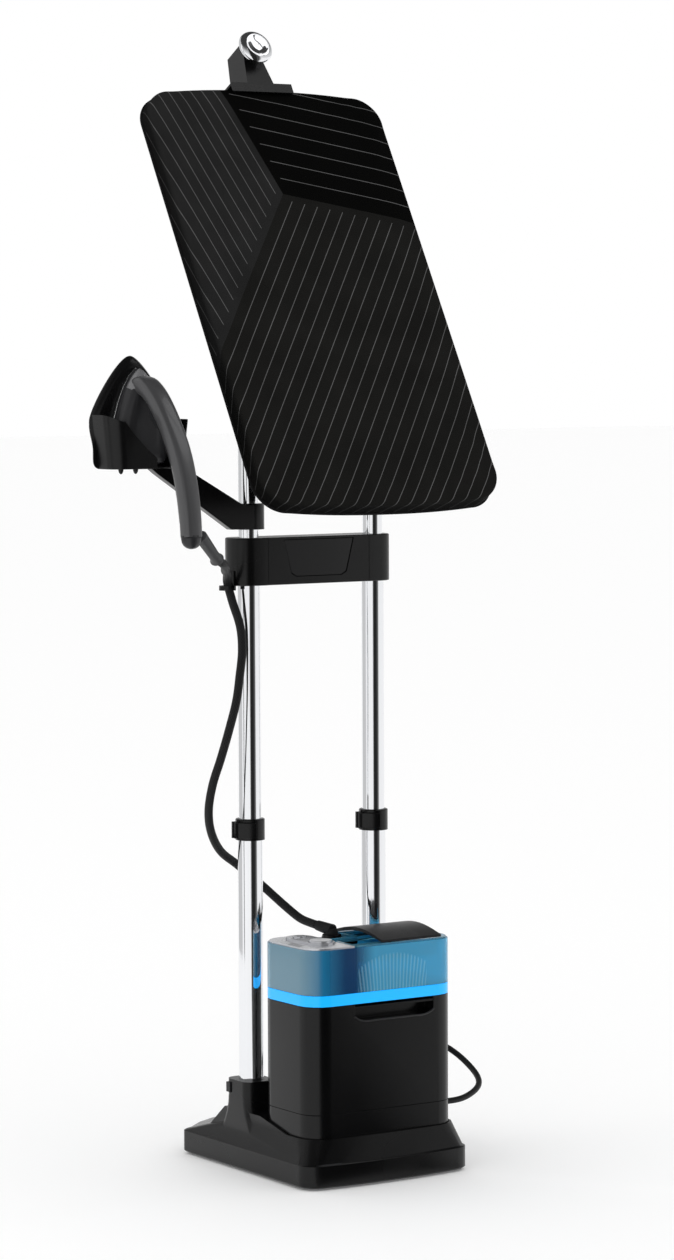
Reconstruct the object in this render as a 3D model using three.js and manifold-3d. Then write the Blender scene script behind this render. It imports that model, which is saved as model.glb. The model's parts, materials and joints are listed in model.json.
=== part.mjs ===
// Garment steamer with a tilting board: a steam generator on a heavy base, two telescopic poles,
// a padded board on a tilt hinge, and a hand iron in a cradle on a side arm.
// Millimetres, +Z up, -Y is the front. Origin: on the floor, midway between the two poles.
import * as THREE from 'three';
import { mergeVertices } from 'three/addons/utils/BufferGeometryUtils.js';
import Module from 'manifold-3d';

const wasm = await Module();
wasm.setup();

// ---------------------------------------------------------------- driving dimensions
const GAP = 0.3; // running and resting clearance between neighbours
const POLE_X = 95.5; // pole axes at x = -POLE_X and +POLE_X, y = 0
const SIDES = [['left', -1], ['right', 1]];

const BASE = { half: 126, front: -181, frontBulge: 6, rear: 128, rearBulge: 48, lip: 31, rim: 62 };
const STRIP_H = 3; // rubber strips under the base
const TOWER = { halfX: 23.5, halfY: 26.5, y: 0.5, r: 12, foot: 40, top: 115, floor: 16 };

const TUBE = {
  lower: { r: 16, wall: 1, bottom: 16.5, top: 446 },
  middle: { r: 14.6, wall: 1.2, bottom: 345, top: 776 },
  upper: { r: 13, wall: 1.2, bottom: 665, top: 1052 },
};
const COLLAR = { bottom: 425.7, top: 453, r: 19 };

const GEN = { half: 111.5, front: -168, rear: -43, r: 30, wall: 2.5, bottom: 36, seam: 92, deck: 229.5 };
const GLAND = { y: -78, z: 70, r: 6.5 }; // where the power cord leaves, on the right side
const BAND_TOP = 243.5;
const TANK_TOP = 301;
const PARTITION_X = -42; // the tank's water space is right of this, the console is left of it

const BRACKET = { half: 119.7, front: -19, rear: 34, r: 22, bottom: 753, top: 814 };
const PANEL_HALF = 77.5; // the front cover between the two end blocks

const PIVOT_Z = 1075;
const TILT = THREE.MathUtils.degToRad(29.5); // how far the board leans back at rest
const BOARD = { half: 181, centre: 28.6, height: 616, r: 42, arch: 6, face: 58, back: 28 };

const CRADLE_X = -280;
const CRADLE = { plate: -25, halfW: 59, bottom: 907, tip: 1047, depth: 46, wall: 2.6 };
const HOSE_R = 5.5;
const CORD_R = 4;

// ---------------------------------------------------------------- geometry helpers
const V = (x, y, z) => new THREE.Vector3(x, y, z);
const P = (x, y) => new THREE.Vector2(x, y);

// A closed three.js geometry as a manifold solid, without the triangles that have no area.
function solid(geometry) {
  const bare = geometry.clone();
  bare.deleteAttribute('normal');
  bare.deleteAttribute('uv');
  const merged = mergeVertices(bare, 1e-3);
  const triangles = [];
  for (let i = 0; i < merged.index.count; i += 3) {
    const [a, b, c] = [0, 1, 2].map((k) => merged.index.getX(i + k));
    if (a !== b && b !== c && c !== a) triangles.push(a, b, c);
  }
  return new wasm.Manifold(new wasm.Mesh({
    numProp: 3,
    vertProperties: Float32Array.from(merged.attributes.position.array),
    triVerts: Uint32Array.from(triangles),
  }));
}

function geometryOf(body) {
  const mesh = body.getMesh();
  const geometry = new THREE.BufferGeometry();
  geometry.setAttribute('position', new THREE.BufferAttribute(Float32Array.from(mesh.vertProperties), 3));
  geometry.setIndex(new THREE.BufferAttribute(Uint32Array.from(mesh.triVerts), 1));
  geometry.computeVertexNormals();
  return geometry;
}

const sorted = (a, b) => (a < b ? [a, b] : [b, a]);
const union = (...bodies) => bodies.reduce((a, b) => a.add(b));

function box(x0, x1, y0, y1, z0, z1) {
  const geometry = new THREE.BoxGeometry(x1 - x0, y1 - y0, z1 - z0);
  return solid(geometry.translate((x0 + x1) / 2, (y0 + y1) / 2, (z0 + z1) / 2));
}

// A cylinder from one point to another, or a cone when the two radii differ.
function rod(from, to, r0, r1 = r0, sides = 20) {
  const axis = to.clone().sub(from);
  const geometry = new THREE.CylinderGeometry(r1, r0, axis.length(), sides);
  const turn = new THREE.Quaternion().setFromUnitVectors(V(0, 1, 0), axis.clone().normalize());
  geometry.applyQuaternion(turn);
  const middle = from.clone().add(to).multiplyScalar(0.5);
  return solid(geometry.translate(middle.x, middle.y, middle.z));
}

// A turned solid about the vertical line through (x, y); profile is [radius, height] pairs.
function turned(x, y, profile, sides = 24) {
  const geometry = new THREE.LatheGeometry(profile.map(([r, z]) => P(r, z)), sides);
  geometry.rotateX(Math.PI / 2);
  return solid(geometry.translate(x, y, 0));
}

function ringOf(x, y, inner, outer, z0, z1, sides = 24) {
  return turned(x, y, [[inner, z0], [outer, z0], [outer, z1], [inner, z1], [inner, z0]], sides);
}

function extruded(points, depth) {
  const shape = points instanceof THREE.Shape ? points : new THREE.Shape(points);
  return new THREE.ExtrudeGeometry(shape, { depth, bevelEnabled: false, curveSegments: 6 });
}

// An outline in X and Z, given depth along Y from y0 to y1.
function slabY(points, y0, y1) {
  const geometry = extruded(points, y1 - y0);
  geometry.rotateX(Math.PI / 2);
  return solid(geometry.translate(0, y1, 0));
}

// An outline in Y and Z, given width along X from x0 to x1.
function slabX(points, x0, x1) {
  const geometry = extruded(points, x1 - x0);
  const axes = new THREE.Matrix4().makeBasis(V(0, 1, 0), V(0, 0, 1), V(1, 0, 0));
  geometry.applyMatrix4(axes);
  return solid(geometry.translate(x0, 0, 0));
}

function slabZ(points, z0, z1) {
  return solid(extruded(points, z1 - z0).translate(0, 0, z0));
}

// A plan outline as points, counterclockwise: rounded corners, and front and rear sides that may
// bow outwards. z is a height or a function of x and y.
function plan({ half, front, rear, r, rRear = r, frontBulge = 0, rearBulge = 0, z, x = 0 }) {
  const steps = { side: 8, corner: 4 };
  const out = [];
  const put = (px, py) => out.push(V(x + px, py, typeof z === 'function' ? z(px, py) : z));
  const bow = (t, bulge) => bulge * (1 - Math.abs(t) ** 2.3);
  for (let i = 0; i < steps.side; i++) {
    const t = -1 + (2 * i) / steps.side;
    put(t * (half - r), front - bow(t, frontBulge));
  }
  const corners = [[half - r, front + r, r, -90], [half - rRear, rear - rRear, rRear, 0]];
  const arc = ([cx, cy, cr, start], i) => {
    const a = THREE.MathUtils.degToRad(start + (90 * i) / steps.corner);
    put(cx + cr * Math.cos(a), cy + cr * Math.sin(a));
  };
  for (let i = 0; i <= steps.corner; i++) arc(corners[0], i);
  for (let i = 0; i <= steps.corner; i++) arc(corners[1], i);
  for (let i = 1; i < steps.side; i++) {
    const t = 1 - (2 * i) / steps.side;
    put(t * (half - rRear), rear + bow(t, rearBulge));
  }
  for (let i = 0; i <= steps.corner; i++) arc([-(half - rRear), rear - rRear, rRear, 90], i);
  for (let i = 0; i < steps.corner; i++) arc([-(half - r), front + r, r, 180], i);
  return out;
}

// A closed solid through stacked outlines of equal point count, lowest first.
function loft(rings) {
  const n = rings[0].length;
  const indices = [];
  for (let k = 0; k + 1 < rings.length; k++) {
    for (let j = 0; j < n; j++) {
      const a = k * n + j;
      const b = k * n + ((j + 1) % n);
      indices.push(a, b, b + n, a, b + n, a + n);
    }
  }
  const last = (rings.length - 1) * n;
  const cap = (ring) => THREE.ShapeUtils.triangulateShape(ring.map((p) => P(p.x, p.y)), []);
  for (const [a, b, c] of cap(rings[0])) indices.push(c, b, a);
  for (const [a, b, c] of cap(rings[rings.length - 1])) indices.push(last + a, last + b, last + c);
  const geometry = new THREE.BufferGeometry().setFromPoints(rings.flat());
  geometry.setIndex(indices);
  return solid(geometry);
}

function roundedBox(halfX, y0, y1, r, z0, z1, x = 0) {
  return loft([z0, z1].map((z) => plan({ half: halfX, front: y0, rear: y1, r, z, x })));
}

// A tube with round section along a curve through the points.
function tube(points, radius, sides, steps) {
  const section = new THREE.Shape();
  for (let i = 0; i < sides; i++) {
    const a = (2 * Math.PI * i) / sides;
    section[i ? 'lineTo' : 'moveTo'](radius * Math.cos(a), radius * Math.sin(a));
  }
  const path = new THREE.CatmullRomCurve3(points, false, 'centripetal');
  return solid(new THREE.ExtrudeGeometry(section, { steps, extrudePath: path, bevelEnabled: false }));
}

// ---------------------------------------------------------------- scene graph
const steamer = new THREE.Group();
const FINISH = {
  blackPlastic: { color: 0x17171a, roughness: 0.42, metalness: 0 },
  glossBlack: { color: 0x0c0c0e, roughness: 0.18, metalness: 0 },
  darkGrey: { color: 0x2b2c30, roughness: 0.4, metalness: 0 },
  chrome: { color: 0xdfe2e6, roughness: 0.08, metalness: 1 },
  blue: { color: 0x2c93cf, roughness: 0.1, metalness: 0 },
  cyan: { color: 0x12aaf0, roughness: 0.3, metalness: 0 },
  silver: { color: 0xb9bec4, roughness: 0.25, metalness: 0.6 },
  steel: { color: 0x8c9196, roughness: 0.45, metalness: 1 },
  brass: { color: 0xb79a55, roughness: 0.35, metalness: 1 },
  rubber: { color: 0x141414, roughness: 0.8, metalness: 0 },
  fabric: { color: 0x1d1d1e, roughness: 0.9, metalness: 0 },
  board: { color: 0x1f5c3a, roughness: 0.6, metalness: 0 },
  graphite: { color: 0x4a4c50, roughness: 0.38, metalness: 0.2 },
};

function add(name, body, finish, parent = steamer) {
  const mesh = new THREE.Mesh(geometryOf(body), new THREE.MeshStandardMaterial(FINISH[finish]));
  mesh.name = name;
  parent.add(mesh);
  return mesh;
}

// ---------------------------------------------------------------- base
const smooth = (t) => {
  const c = Math.min(1, Math.max(0, t));
  return c * c * (3 - 2 * c);
};
// The crease over the side wall rises beside the towers.
const creaseZ = (x, y) => {
  const atSide = smooth((Math.abs(x) - 109) / 14);
  return BASE.lip + 10 * atSide * smooth((y + 165) / 90) * smooth((115 - y) / 80);
};
const basePlan = (inset, z) => plan({
  half: BASE.half - inset,
  front: BASE.front + inset,
  rear: BASE.rear - inset,
  frontBulge: BASE.frontBulge,
  rearBulge: BASE.rearBulge,
  r: 24,
  rRear: 12,
  z,
});

const WELL = { half: GEN.half + 1, front: GEN.front - 1, rear: GEN.rear + 1, r: GEN.r + 1 };

function towerSolid(side) {
  const { halfX, halfY, y, r, foot, top } = TOWER;
  return roundedBox(halfX, y - halfY, y + halfY, r, foot, top, side * POLE_X);
}

// The flared foot in front of and behind a tower, kept inside the base's side wall.
function towerFlare(side) {
  const { halfX, halfY, y, r } = TOWER;
  const rings = [];
  for (let i = 0; i <= 5; i++) {
    const t = i / 5;
    const out = 30 * (1 - t) ** 2;
    rings.push(plan({
      half: halfX, front: y - halfY - out, rear: y + halfY + out, r, z: 34 + 62 * t, x: side * POLE_X,
    }));
  }
  return loft(rings);
}

function baseShell() {
  const outer = loft([
    basePlan(2, STRIP_H),
    basePlan(0, STRIP_H + 2),
    basePlan(0, (x, y) => creaseZ(x, y)),
    basePlan(2.5, (x, y) => creaseZ(x, y) + 2),
    plan({ half: 115.5, front: -172, frontBulge: 3, rear: 34, rearBulge: 8, r: 34, rRear: 30, z: BASE.rim }),
  ]);
  const saddle = slabX([P(-118, 30), P(-118, 61), P(-52, 76), P(34, 76), P(92, 30)], -115.5, 115.5);
  let body = union(outer, saddle);
  for (const [, s] of SIDES) body = union(body, towerFlare(s), towerSolid(s));
  const hollow = loft([
    basePlan(6, STRIP_H - 1),
    basePlan(4, BASE.lip - 4),
    plan({ half: 109, front: -165, rear: 30, r: 30, z: 32.5 }),
  ]);
  const underSaddle = slabX([P(-36, 20), P(-36, 70), P(28, 70), P(64, 20)], -66, 66);
  const well = loft([GEN.bottom - GAP, 130].map((z) => plan({ ...WELL, z })));
  const glandRoom = box(100, 140, GLAND.y - 10, GLAND.y + 10, GLAND.z - 10, 90);
  body = body.subtract(hollow).subtract(underSaddle).subtract(well).subtract(glandRoom);
  for (const [, s] of SIDES) {
    const x = s * POLE_X;
    const boss = loft([12, 70].map((z) => plan({ half: 20.5, front: -20, rear: 21, r: 12, z, x })));
    body = union(body, boss.intersect(loft([12, 70].map((z) => basePlan(3, z)))));
    body = body.subtract(turned(x, 0, [[0, TOWER.floor], [TUBE.lower.r + GAP, TOWER.floor],
      [TUBE.lower.r + GAP, 130], [0, 130]]));
    body = body.subtract(box(...sorted(x + s * 17.5, x + s * 24), 12, 22, 97, 111));
  }
  return body;
}

add('base_shell', baseShell(), 'blackPlastic');
const towerWells = SIDES.map(([, s]) => roundedBox(24, -24, 25, 12, 0, 40, s * POLE_X));
const plateBody = loft([5.5, 10].map((z) => basePlan(8, z)));
add('ballast_plate', towerWells.reduce((body, well) => body.subtract(well), plateBody), 'steel');
const STRIPS = [['foot_strip_front', 88, -150, -136], ['foot_strip_middle', 60, -8, 8],
  ['foot_strip_rear', 76, 118, 132]];
for (const [name, half, y0, y1] of STRIPS) {
  add(name, roundedBox(half, y0, y1, 6, 0, 5.2), 'rubber');
}
for (const [name, s] of SIDES) {
  const [x0, x1] = sorted(s * (POLE_X + 19), s * (POLE_X + 25.5));
  add(`pole_button_${name}`, box(x0, x1, 12.5, 21.5, 97.5, 110.5), 'darkGrey');
}

// ---------------------------------------------------------------- poles and collars
for (const [name, s] of SIDES) {
  const x = s * POLE_X;
  for (const stage of ['lower', 'middle', 'upper']) {
    const { r, wall, bottom, top } = TUBE[stage];
    add(`${stage}_tube_${name}`, ringOf(x, 0, r - wall, r, bottom, top), 'chrome');
  }
  const { bottom, top, r } = COLLAR;
  const shoulder = TUBE.lower.top + GAP;
  const ring = turned(x, 0, [
    [TUBE.lower.r + GAP, bottom], [r, bottom], [r, top - 1], [r - 1, top],
    [TUBE.middle.r + GAP, top], [TUBE.middle.r + GAP, shoulder], [TUBE.lower.r + GAP, shoulder],
    [TUBE.lower.r + GAP, bottom],
  ]);
  const lug = box(x - 25, x - 17.5, -5, 5, bottom + 3, top - 3);
  const slot = box(x - 26, x - 17.2, -1.2, 1.2, bottom - 1, top + 1);
  add(`collar_${name}`, union(ring, lug).subtract(slot), 'blackPlastic');
  add(`collar_lever_${name}`, collarLever(x), 'blackPlastic');
}

// A flip lever beside the lug: a flat eye on the pin line, and a tail curved round the ring.
function collarLever(x) {
  const z0 = COLLAR.bottom + 4;
  const z1 = COLLAR.top - 4;
  const outline = [];
  const reach = [[-100, 20.2], [-115, 20.2], [-130, 20.2], [-145, 20.6], [-160, 21.2]];
  for (const [deg, r] of reach) {
    const a = THREE.MathUtils.degToRad(deg);
    outline.push(P(x + r * Math.cos(a), r * Math.sin(a)));
  }
  outline.push(P(x - 25, -5.6), P(x - 27.5, -8));
  for (const [deg, r] of [...reach].reverse()) {
    const a = THREE.MathUtils.degToRad(deg);
    outline.push(P(x + (r + 3.4) * Math.cos(a), (r + 3.4) * Math.sin(a)));
  }
  return slabZ(outline.reverse(), z0, z1);
}

// ---------------------------------------------------------------- height bracket
function bracketBody() {
  const { half, front, rear, r, bottom, top } = BRACKET;
  const at = (inset, z) => plan({ half: half - inset, front: front + inset, rear: rear - inset, r, z });
  let body = loft([at(1, bottom), at(0, bottom + 1), at(0, top - 1), at(1, top)]);
  body = body.subtract(box(-PANEL_HALF, PANEL_HALF, front - 1, 29, bottom + 5, top - 2.6));
  body = body.subtract(box(-PANEL_HALF - GAP, PANEL_HALF + GAP, front - 1, front + 3, bottom - 1, top + 1));
  for (const [, s] of SIDES) {
    const x = s * POLE_X;
    const ledge = TUBE.middle.top + GAP;
    body = body.subtract(turned(x, 0, [[0, bottom - 1], [TUBE.middle.r + GAP, bottom - 1],
      [TUBE.middle.r + GAP, ledge], [TUBE.upper.r + GAP, ledge], [TUBE.upper.r + GAP, top + 1], [0, top + 1]]));
  }
  return body;
}
add('bracket_body', bracketBody(), 'blackPlastic');

const paddleOutline = (grow) => [
  P(-53 - grow, 811), P(-42 - grow, 768 - grow), P(-34, 763.5 - grow),
  P(34, 763.5 - grow), P(42 + grow, 768 - grow), P(53 + grow, 811),
];
function bracketCover() {
  const { front, bottom, top } = BRACKET;
  const plate = box(-PANEL_HALF, PANEL_HALF, front, front + 2.6, bottom + 0.5, top - 0.5);
  return plate.subtract(slabY(paddleOutline(0.5), front - 1, front + 4));
}
add('bracket_cover', bracketCover(), 'blackPlastic');
const paddlePlate = slabY(paddleOutline(0).map((p) => P(p.x, Math.min(p.y, 810.5))), -18.2, -15.2);
const paddleStem = box(-30, 30, -15.3, -3, 776, 792);
add('release_paddle', union(paddlePlate, paddleStem), 'glossBlack');
add('lock_bar', box(-76, 76, 6, 14, 778, 790), 'steel');

// An open clip round the hose, standing off the bracket's left end.
function hoseHook() {
  const [x, y] = [-130, -4];
  const clip = ringOf(x, y, HOSE_R + 3, HOSE_R + 5.4, 748, 754, 20);
  const opening = box(x - 4, x + 4, y - 15, y, 747, 755);
  const post = box(-124, -BRACKET.half - GAP, y, y + 9, 748, 772);
  return union(clip, post).subtract(rod(V(x, y, 740), V(x, y, 780), HOSE_R + 3)).subtract(opening);
}
add('hose_hook', hoseHook(), 'blackPlastic');

// ---------------------------------------------------------------- steam generator
const genPlan = (inset, z) => plan({
  half: GEN.half - inset, front: GEN.front + inset, rear: GEN.rear - inset, r: GEN.r - inset, z,
});
const genShell = (wall, z0, z1) => loft([z0, z1].map((z) => genPlan(0, z)))
  .subtract(loft([z0 - 1, z1 + 1].map((z) => genPlan(wall, z))));
const genBlock = (inset, z0, z1) => loft([z0, z1].map((z) => genPlan(inset, z)));

const glandHole = rod(V(90, GLAND.y, GLAND.z), V(120, GLAND.y, GLAND.z), GLAND.r);
add('generator_lower_shell', genBlock(0, GEN.bottom, GEN.seam)
  .subtract(genBlock(GEN.wall, GEN.bottom + 3, GEN.seam + 1)).subtract(glandHole), 'blackPlastic');

function upperShell() {
  const grip = slabY([P(-46, 212), P(-34, 207), P(62, 207), P(74, 212), P(74, 231), P(-46, 231)], -172, -160);
  const gripPocket = slabY([P(-49, 209), P(-36, 203.5), P(64, 203.5), P(77, 209), P(77, 226), P(-49, 226)],
    GEN.front + 1, -146);
  const gripRoom = slabY([P(-46, 212), P(-34, 207), P(62, 207), P(74, 212), P(74, 223), P(-46, 223)],
    -170, -148.5);
  return genShell(GEN.wall, GEN.seam + GAP, GEN.deck - GAP)
    .subtract(grip)
    .add(gripPocket)
    .subtract(gripRoom)
    .intersect(genBlock(0, GEN.seam + GAP, GEN.deck - GAP));
}
add('generator_upper_shell', upperShell(), 'blackPlastic');
add('chassis_deck', genBlock(4.2, GEN.deck, GEN.deck + 3)
  .subtract(roundedBox(28, -112, -62, 6, 200, 260, -72)), 'darkGrey');
add('accent_band', genShell(2.2, GEN.deck, BAND_TOP), 'cyan');

// Internals, standing on the floor of the lower shell.
const FLOOR = GEN.bottom + 3 + GAP;
function boiler() {
  const body = rod(V(30, -104, FLOOR + 8), V(30, -104, 158), 40, 40, 28);
  const dome = rod(V(30, -104, 157.9), V(30, -104, 172), 40, 24, 28);
  const feet = box(-6, 66, -140, -68, FLOOR, FLOOR + 8.1);
  const outlet = rod(V(30, -104, 171), V(30, -104, 182), 7);
  const chamber = rod(V(30, -104, FLOOR + 11), V(30, -104, 156), 37, 37, 28);
  const bore = rod(V(30, -104, 150), V(30, -104, 190), 3, 3, 12);
  return union(body, dome, feet, outlet).subtract(chamber).subtract(bore);
}
add('boiler', boiler(), 'steel');
add('steam_valve', union(
  rod(V(30, -104, 182.3), V(30, -104, 190), 9),
  box(16, 44, -116, -92, 189.9, 206),
), 'brass');
add('water_pump', union(
  rod(V(-62, -104, FLOOR + 4), V(-62, -104, 92), 21, 21, 24),
  box(-84, -40, -126, -82, FLOOR, FLOOR + 4.1),
  rod(V(-62, -104, 91.9), V(-62, -104, 112), 8),
), 'darkGrey');
add('control_board', box(-94, -34, -63, -61.4, 150, 218), 'board');

// ---------------------------------------------------------------- water tank and console
// The fixed core stands left of the partition, and in a notch behind it where the hose leaves.
const TANK_WALL = 2.4;
const NOTCH = { x: 5, y: -90 };
const coreRoom = (shrink, z0, z1) => union(
  box(-200, PARTITION_X - TANK_WALL - shrink, -300, 100, z0, z1),
  box(-200, NOTCH.x - shrink, NOTCH.y + shrink, 100, z0, z1),
);
function waterTank() {
  const outer = genBlock(0, BAND_TOP + GAP, TANK_TOP);
  const inner = genBlock(TANK_WALL, BAND_TOP + GAP - 1, TANK_TOP + 1);
  const water = box(PARTITION_X, 200, -300, 100, BAND_TOP + GAP + TANK_WALL, 400)
    .subtract(box(-200, NOTCH.x + TANK_WALL, NOTCH.y - TANK_WALL, 100, 0, 400));
  // The rear wall is open behind the notch, so that the tank lifts off past the hose.
  const hosePass = box(NOTCH.x - 42, NOTCH.x - 4, GEN.rear - 10, GEN.rear + 1, BAND_TOP, 400);
  return outer.subtract(inner.intersect(water)).subtract(inner.intersect(coreRoom(0, 0, 400)))
    .subtract(hosePass);
}
add('water_tank', waterTank(), 'blue');

// The lid covers the water space. It has a trough, so that fingers pass under the handle.
const LID = { x0: PARTITION_X + GAP, trough: 282, top: TANK_TOP + 2.2 };
const TROUGH = { x0: -38, x1: 88, y0: -150, y1: -95.5 };
function tankLid() {
  const inside = genBlock(TANK_WALL + GAP, 240, 330);
  const { x0, x1, y0, y1 } = TROUGH;
  const wall = TANK_WALL;
  const cover = box(LID.x0, 200, -300, 100, TANK_TOP - 4, LID.top);
  const tray = box(x0 - wall, x1 + wall, y0 - wall, y1 + wall, LID.trough - wall, TANK_TOP);
  const notch = box(-200, NOTCH.x + wall + GAP, NOTCH.y - wall - GAP, 100, 240, 330);
  return union(cover, tray).intersect(inside).subtract(notch)
    .subtract(box(x0, x1, y0, y1, LID.trough, 330));
}
add('tank_lid', tankLid(), 'blue');

// The carry handle: a broad arch from the front rim to the rear rim.
function carryHandle() {
  const line = (lift, rise) => {
    const points = [];
    for (let i = 0; i <= 12; i++) {
      const t = i / 12;
      points.push(P(-163 + 114 * t, LID.top + GAP + lift + rise * Math.sin(Math.PI * t)));
    }
    return points;
  };
  const outline = [...line(0, 8.5), ...line(3, 10).reverse()];
  return slabX(outline, -2, 90).intersect(genBlock(3, 240, 330));
}
add('carry_handle', carryHandle(), 'graphite');

const CORE_TOP = TANK_TOP - 3;
function consolePod() {
  const inside = genBlock(TANK_WALL + GAP, GEN.deck + 3 + GAP, CORE_TOP);
  return inside.intersect(coreRoom(GAP, 0, 400)).subtract(box(-98, -50, -150, -60, GEN.deck, 292));
}
add('console_pod', consolePod(), 'blue');
const ISLAND = { x: -67, half: 18, front: -139, rear: -54, top: 305.4 };
const BUTTONS = [['steam', -67, -121, 15.5, 307.8], ['power', -67, -72, 9, 307]];
function controlPanel() {
  const left = box(-200, PARTITION_X - TANK_WALL - GAP, -300, 100, 0, 400);
  const { x: cx, half, front, rear, top: islandTop } = ISLAND;
  const island = roundedBox(half, front, rear, half - 0.2, CORE_TOP + 1, islandTop, cx);
  let body = genBlock(TANK_WALL + GAP, CORE_TOP + GAP, LID.top).intersect(left).add(island);
  for (const [, x, y, r] of BUTTONS) {
    body = body.subtract(rod(V(x, y, 290), V(x, y, 310), r + 0.4, r + 0.4, 28));
  }
  return body;
}
add('control_panel', controlPanel(), 'silver');
for (const [name, x, y, r, top] of BUTTONS) {
  add(`${name}_button`, rod(V(x, y, CORE_TOP + 2.4), V(x, y, top), r, r - 1, 28), 'silver');
}

// The hose leaves upwards and backwards from a socket in the core, by a tapered cuff.
const HOSE_START = V(-20, -42, 313);
const SOCKET = { x: -14, y: -66 };
const socketAt = (z) => V(SOCKET.x, SOCKET.y, z);
add('hose_socket', rod(socketAt(CORE_TOP + GAP), socketAt(304), 14, 12, 24), 'glossBlack');
const cuffAxis = HOSE_START.clone().sub(socketAt(309)).normalize();
const cuffEnd = HOSE_START.clone().addScaledVector(cuffAxis, -GAP);
const cuffStart = cuffEnd.clone().addScaledVector(cuffAxis, -26);
add('hose_cuff', union(
  rod(cuffStart, cuffEnd, 8, 6.6),
  rod(socketAt(304 + GAP), socketAt(311), 8.5, 7),
).subtract(box(-60, 30, -120, 0, 280, 304.3)), 'rubber');

// ---------------------------------------------------------------- power cord
// Gland in the right side of the lower shell, a loop held by a hook on the right tower, a coil on
// the floor behind the base.
const GLAND_END = V(148, GLAND.y, GLAND.z);
add('cord_gland', union(
  rod(V(GEN.half - 5.5, GLAND.y, GLAND.z), V(GEN.half + 1, GLAND.y, GLAND.z), GLAND.r - GAP),
  rod(V(GEN.half + GAP, GLAND.y, GLAND.z), V(GEN.half + 4, GLAND.y, GLAND.z), 9, 8.4),
  rod(V(GEN.half + 3, GLAND.y, GLAND.z), GLAND_END.clone().sub(V(GAP, 0, 0)), 6.4, CORD_R + 0.9),
), 'rubber');

const COIL = { x: 148, y: 212, mean: 44, half: 12, height: 16 };
const COIL_TAIL = V(COIL.x - COIL.mean - COIL.half - CORD_R - GAP, COIL.y, CORD_R);
const CORD_POINTS = [
  GLAND_END, V(162, -78, 70), V(180, -77, 70), V(200, -70, 73), V(221, -57, 77), V(236, -42, 81),
  V(245, -24, 87), V(249, -5, 94), V(246, 13, 105), V(236, 28, 117), V(220, 37, 126), V(200, 41, 131),
  V(178, 41, 132), V(156, 40, 128), V(136, 40, 118), V(118, 40, 109.5), V(104, 41, 107), V(94, 47, 95),
  V(89, 58, 78), V(87, 74, 65), V(86, 92, 58), V(84, 112, 52), V(81, 132, 46), V(78, 152, 40),
  V(75, 168, 29), V(74, 181, 14), V(78, 191, 5.5), V(84, 201, CORD_R), COIL_TAIL,
];
add('power_cord', tube(CORD_POINTS, CORD_R, 8, 54), 'rubber');
const coilRing = ringOf(COIL.x, COIL.y, COIL.mean - COIL.half, COIL.mean + COIL.half, 0, COIL.height, 36);
add('cord_coil', coilRing, 'rubber');
function powerPlug() {
  const z = COIL.height + GAP;
  const x = COIL.x - 8;
  const body = roundedBox(13, COIL.y - 22, COIL.y + 18, 8, z, z + 22, x);
  const pin = (dx) => rod(V(x + dx, COIL.y + 17, z + 11), V(x + dx, COIL.y + 37, z + 11), 2.4, 2.4, 12);
  const pins = [-9.5, 9.5].map(pin);
  const relief = rod(V(x, COIL.y - 21, z + 11), V(x, COIL.y - 46, z + 7), 6.5, CORD_R + 0.6);
  return union(body, ...pins, relief);
}
add('power_plug', powerPlug(), 'rubber');
function cordHook() {
  const [x0, x1] = [104, 122];
  const y = TOWER.y + TOWER.halfY + GAP;
  return union(box(x0, x1, y, y + 3, 97, 113), box(x0, x1, y, 52, 97, 101), box(x0, x1, 49, 52, 97, 108));
}
add('cord_hook', cordHook(), 'blackPlastic');

// ---------------------------------------------------------------- tilting board
// The yoke joins the upper tubes; the board turns on its shaft.
const YOKE_R = 11;
function yoke() {
  let body = rod(V(-POLE_X, 0, PIVOT_Z), V(POLE_X, 0, PIVOT_Z), YOKE_R, YOKE_R, 20);
  for (const [, s] of SIDES) {
    const x = s * POLE_X;
    const cap = [[0, 1034], [16.5, 1034], [16.5, PIVOT_Z + 10], [13.5, PIVOT_Z + 15], [0, PIVOT_Z + 15]];
    body = union(body, turned(x, 0, cap));
    body = body.subtract(turned(x, 0, [[0, 1030], [TUBE.upper.r + GAP, 1030],
      [TUBE.upper.r + GAP, TUBE.upper.top + GAP], [0, TUBE.upper.top + GAP]]));
  }
  const flats = [[-58, -34], [34, 58]];
  for (const [x0, x1] of flats) {
    body = body.subtract(ringAlongX(x0 - GAP, x1 + GAP, 8, 20));
  }
  return body;
}
function ringAlongX(x0, x1, inner, outer) {
  const sleeve = rod(V(x0, 0, PIVOT_Z), V(x1, 0, PIVOT_Z), outer, outer, 8);
  return sleeve.subtract(rod(V(x0 - 1, 0, PIVOT_Z), V(x1 + 1, 0, PIVOT_Z), inner, inner, 20));
}
add('board_yoke', yoke(), 'blackPlastic');

// Everything on the board is drawn upright, with y backwards and z up along the board.
const board = new THREE.Group();
board.position.set(0, 0, PIVOT_Z);
board.rotation.x = -TILT;
steamer.add(board);

function boardHinge() {
  const ears = [[-58, -34], [34, 58]].map(([x0, x1]) => {
    const outline = [P(-BOARD.back + 2.7, -26), P(-BOARD.back + 2.7, 26)];
    for (let i = 0; i <= 8; i++) {
      const a = THREE.MathUtils.degToRad(90 - (180 * i) / 8);
      outline.push(P(14.5 * Math.cos(a), 14.5 * Math.sin(a)));
    }
    return slabX(outline.reverse(), x0, x1).subtract(rod(V(x0 - 1, 0, 0), V(x1 + 1, 0, 0), 8.3, 8.3, 20));
  });
  return union(box(-62, 62, -BOARD.back + GAP, -BOARD.back + 3, -30, 30), ...ears);
}
add('board_hinge', boardHinge(), 'blackPlastic', board);

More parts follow.
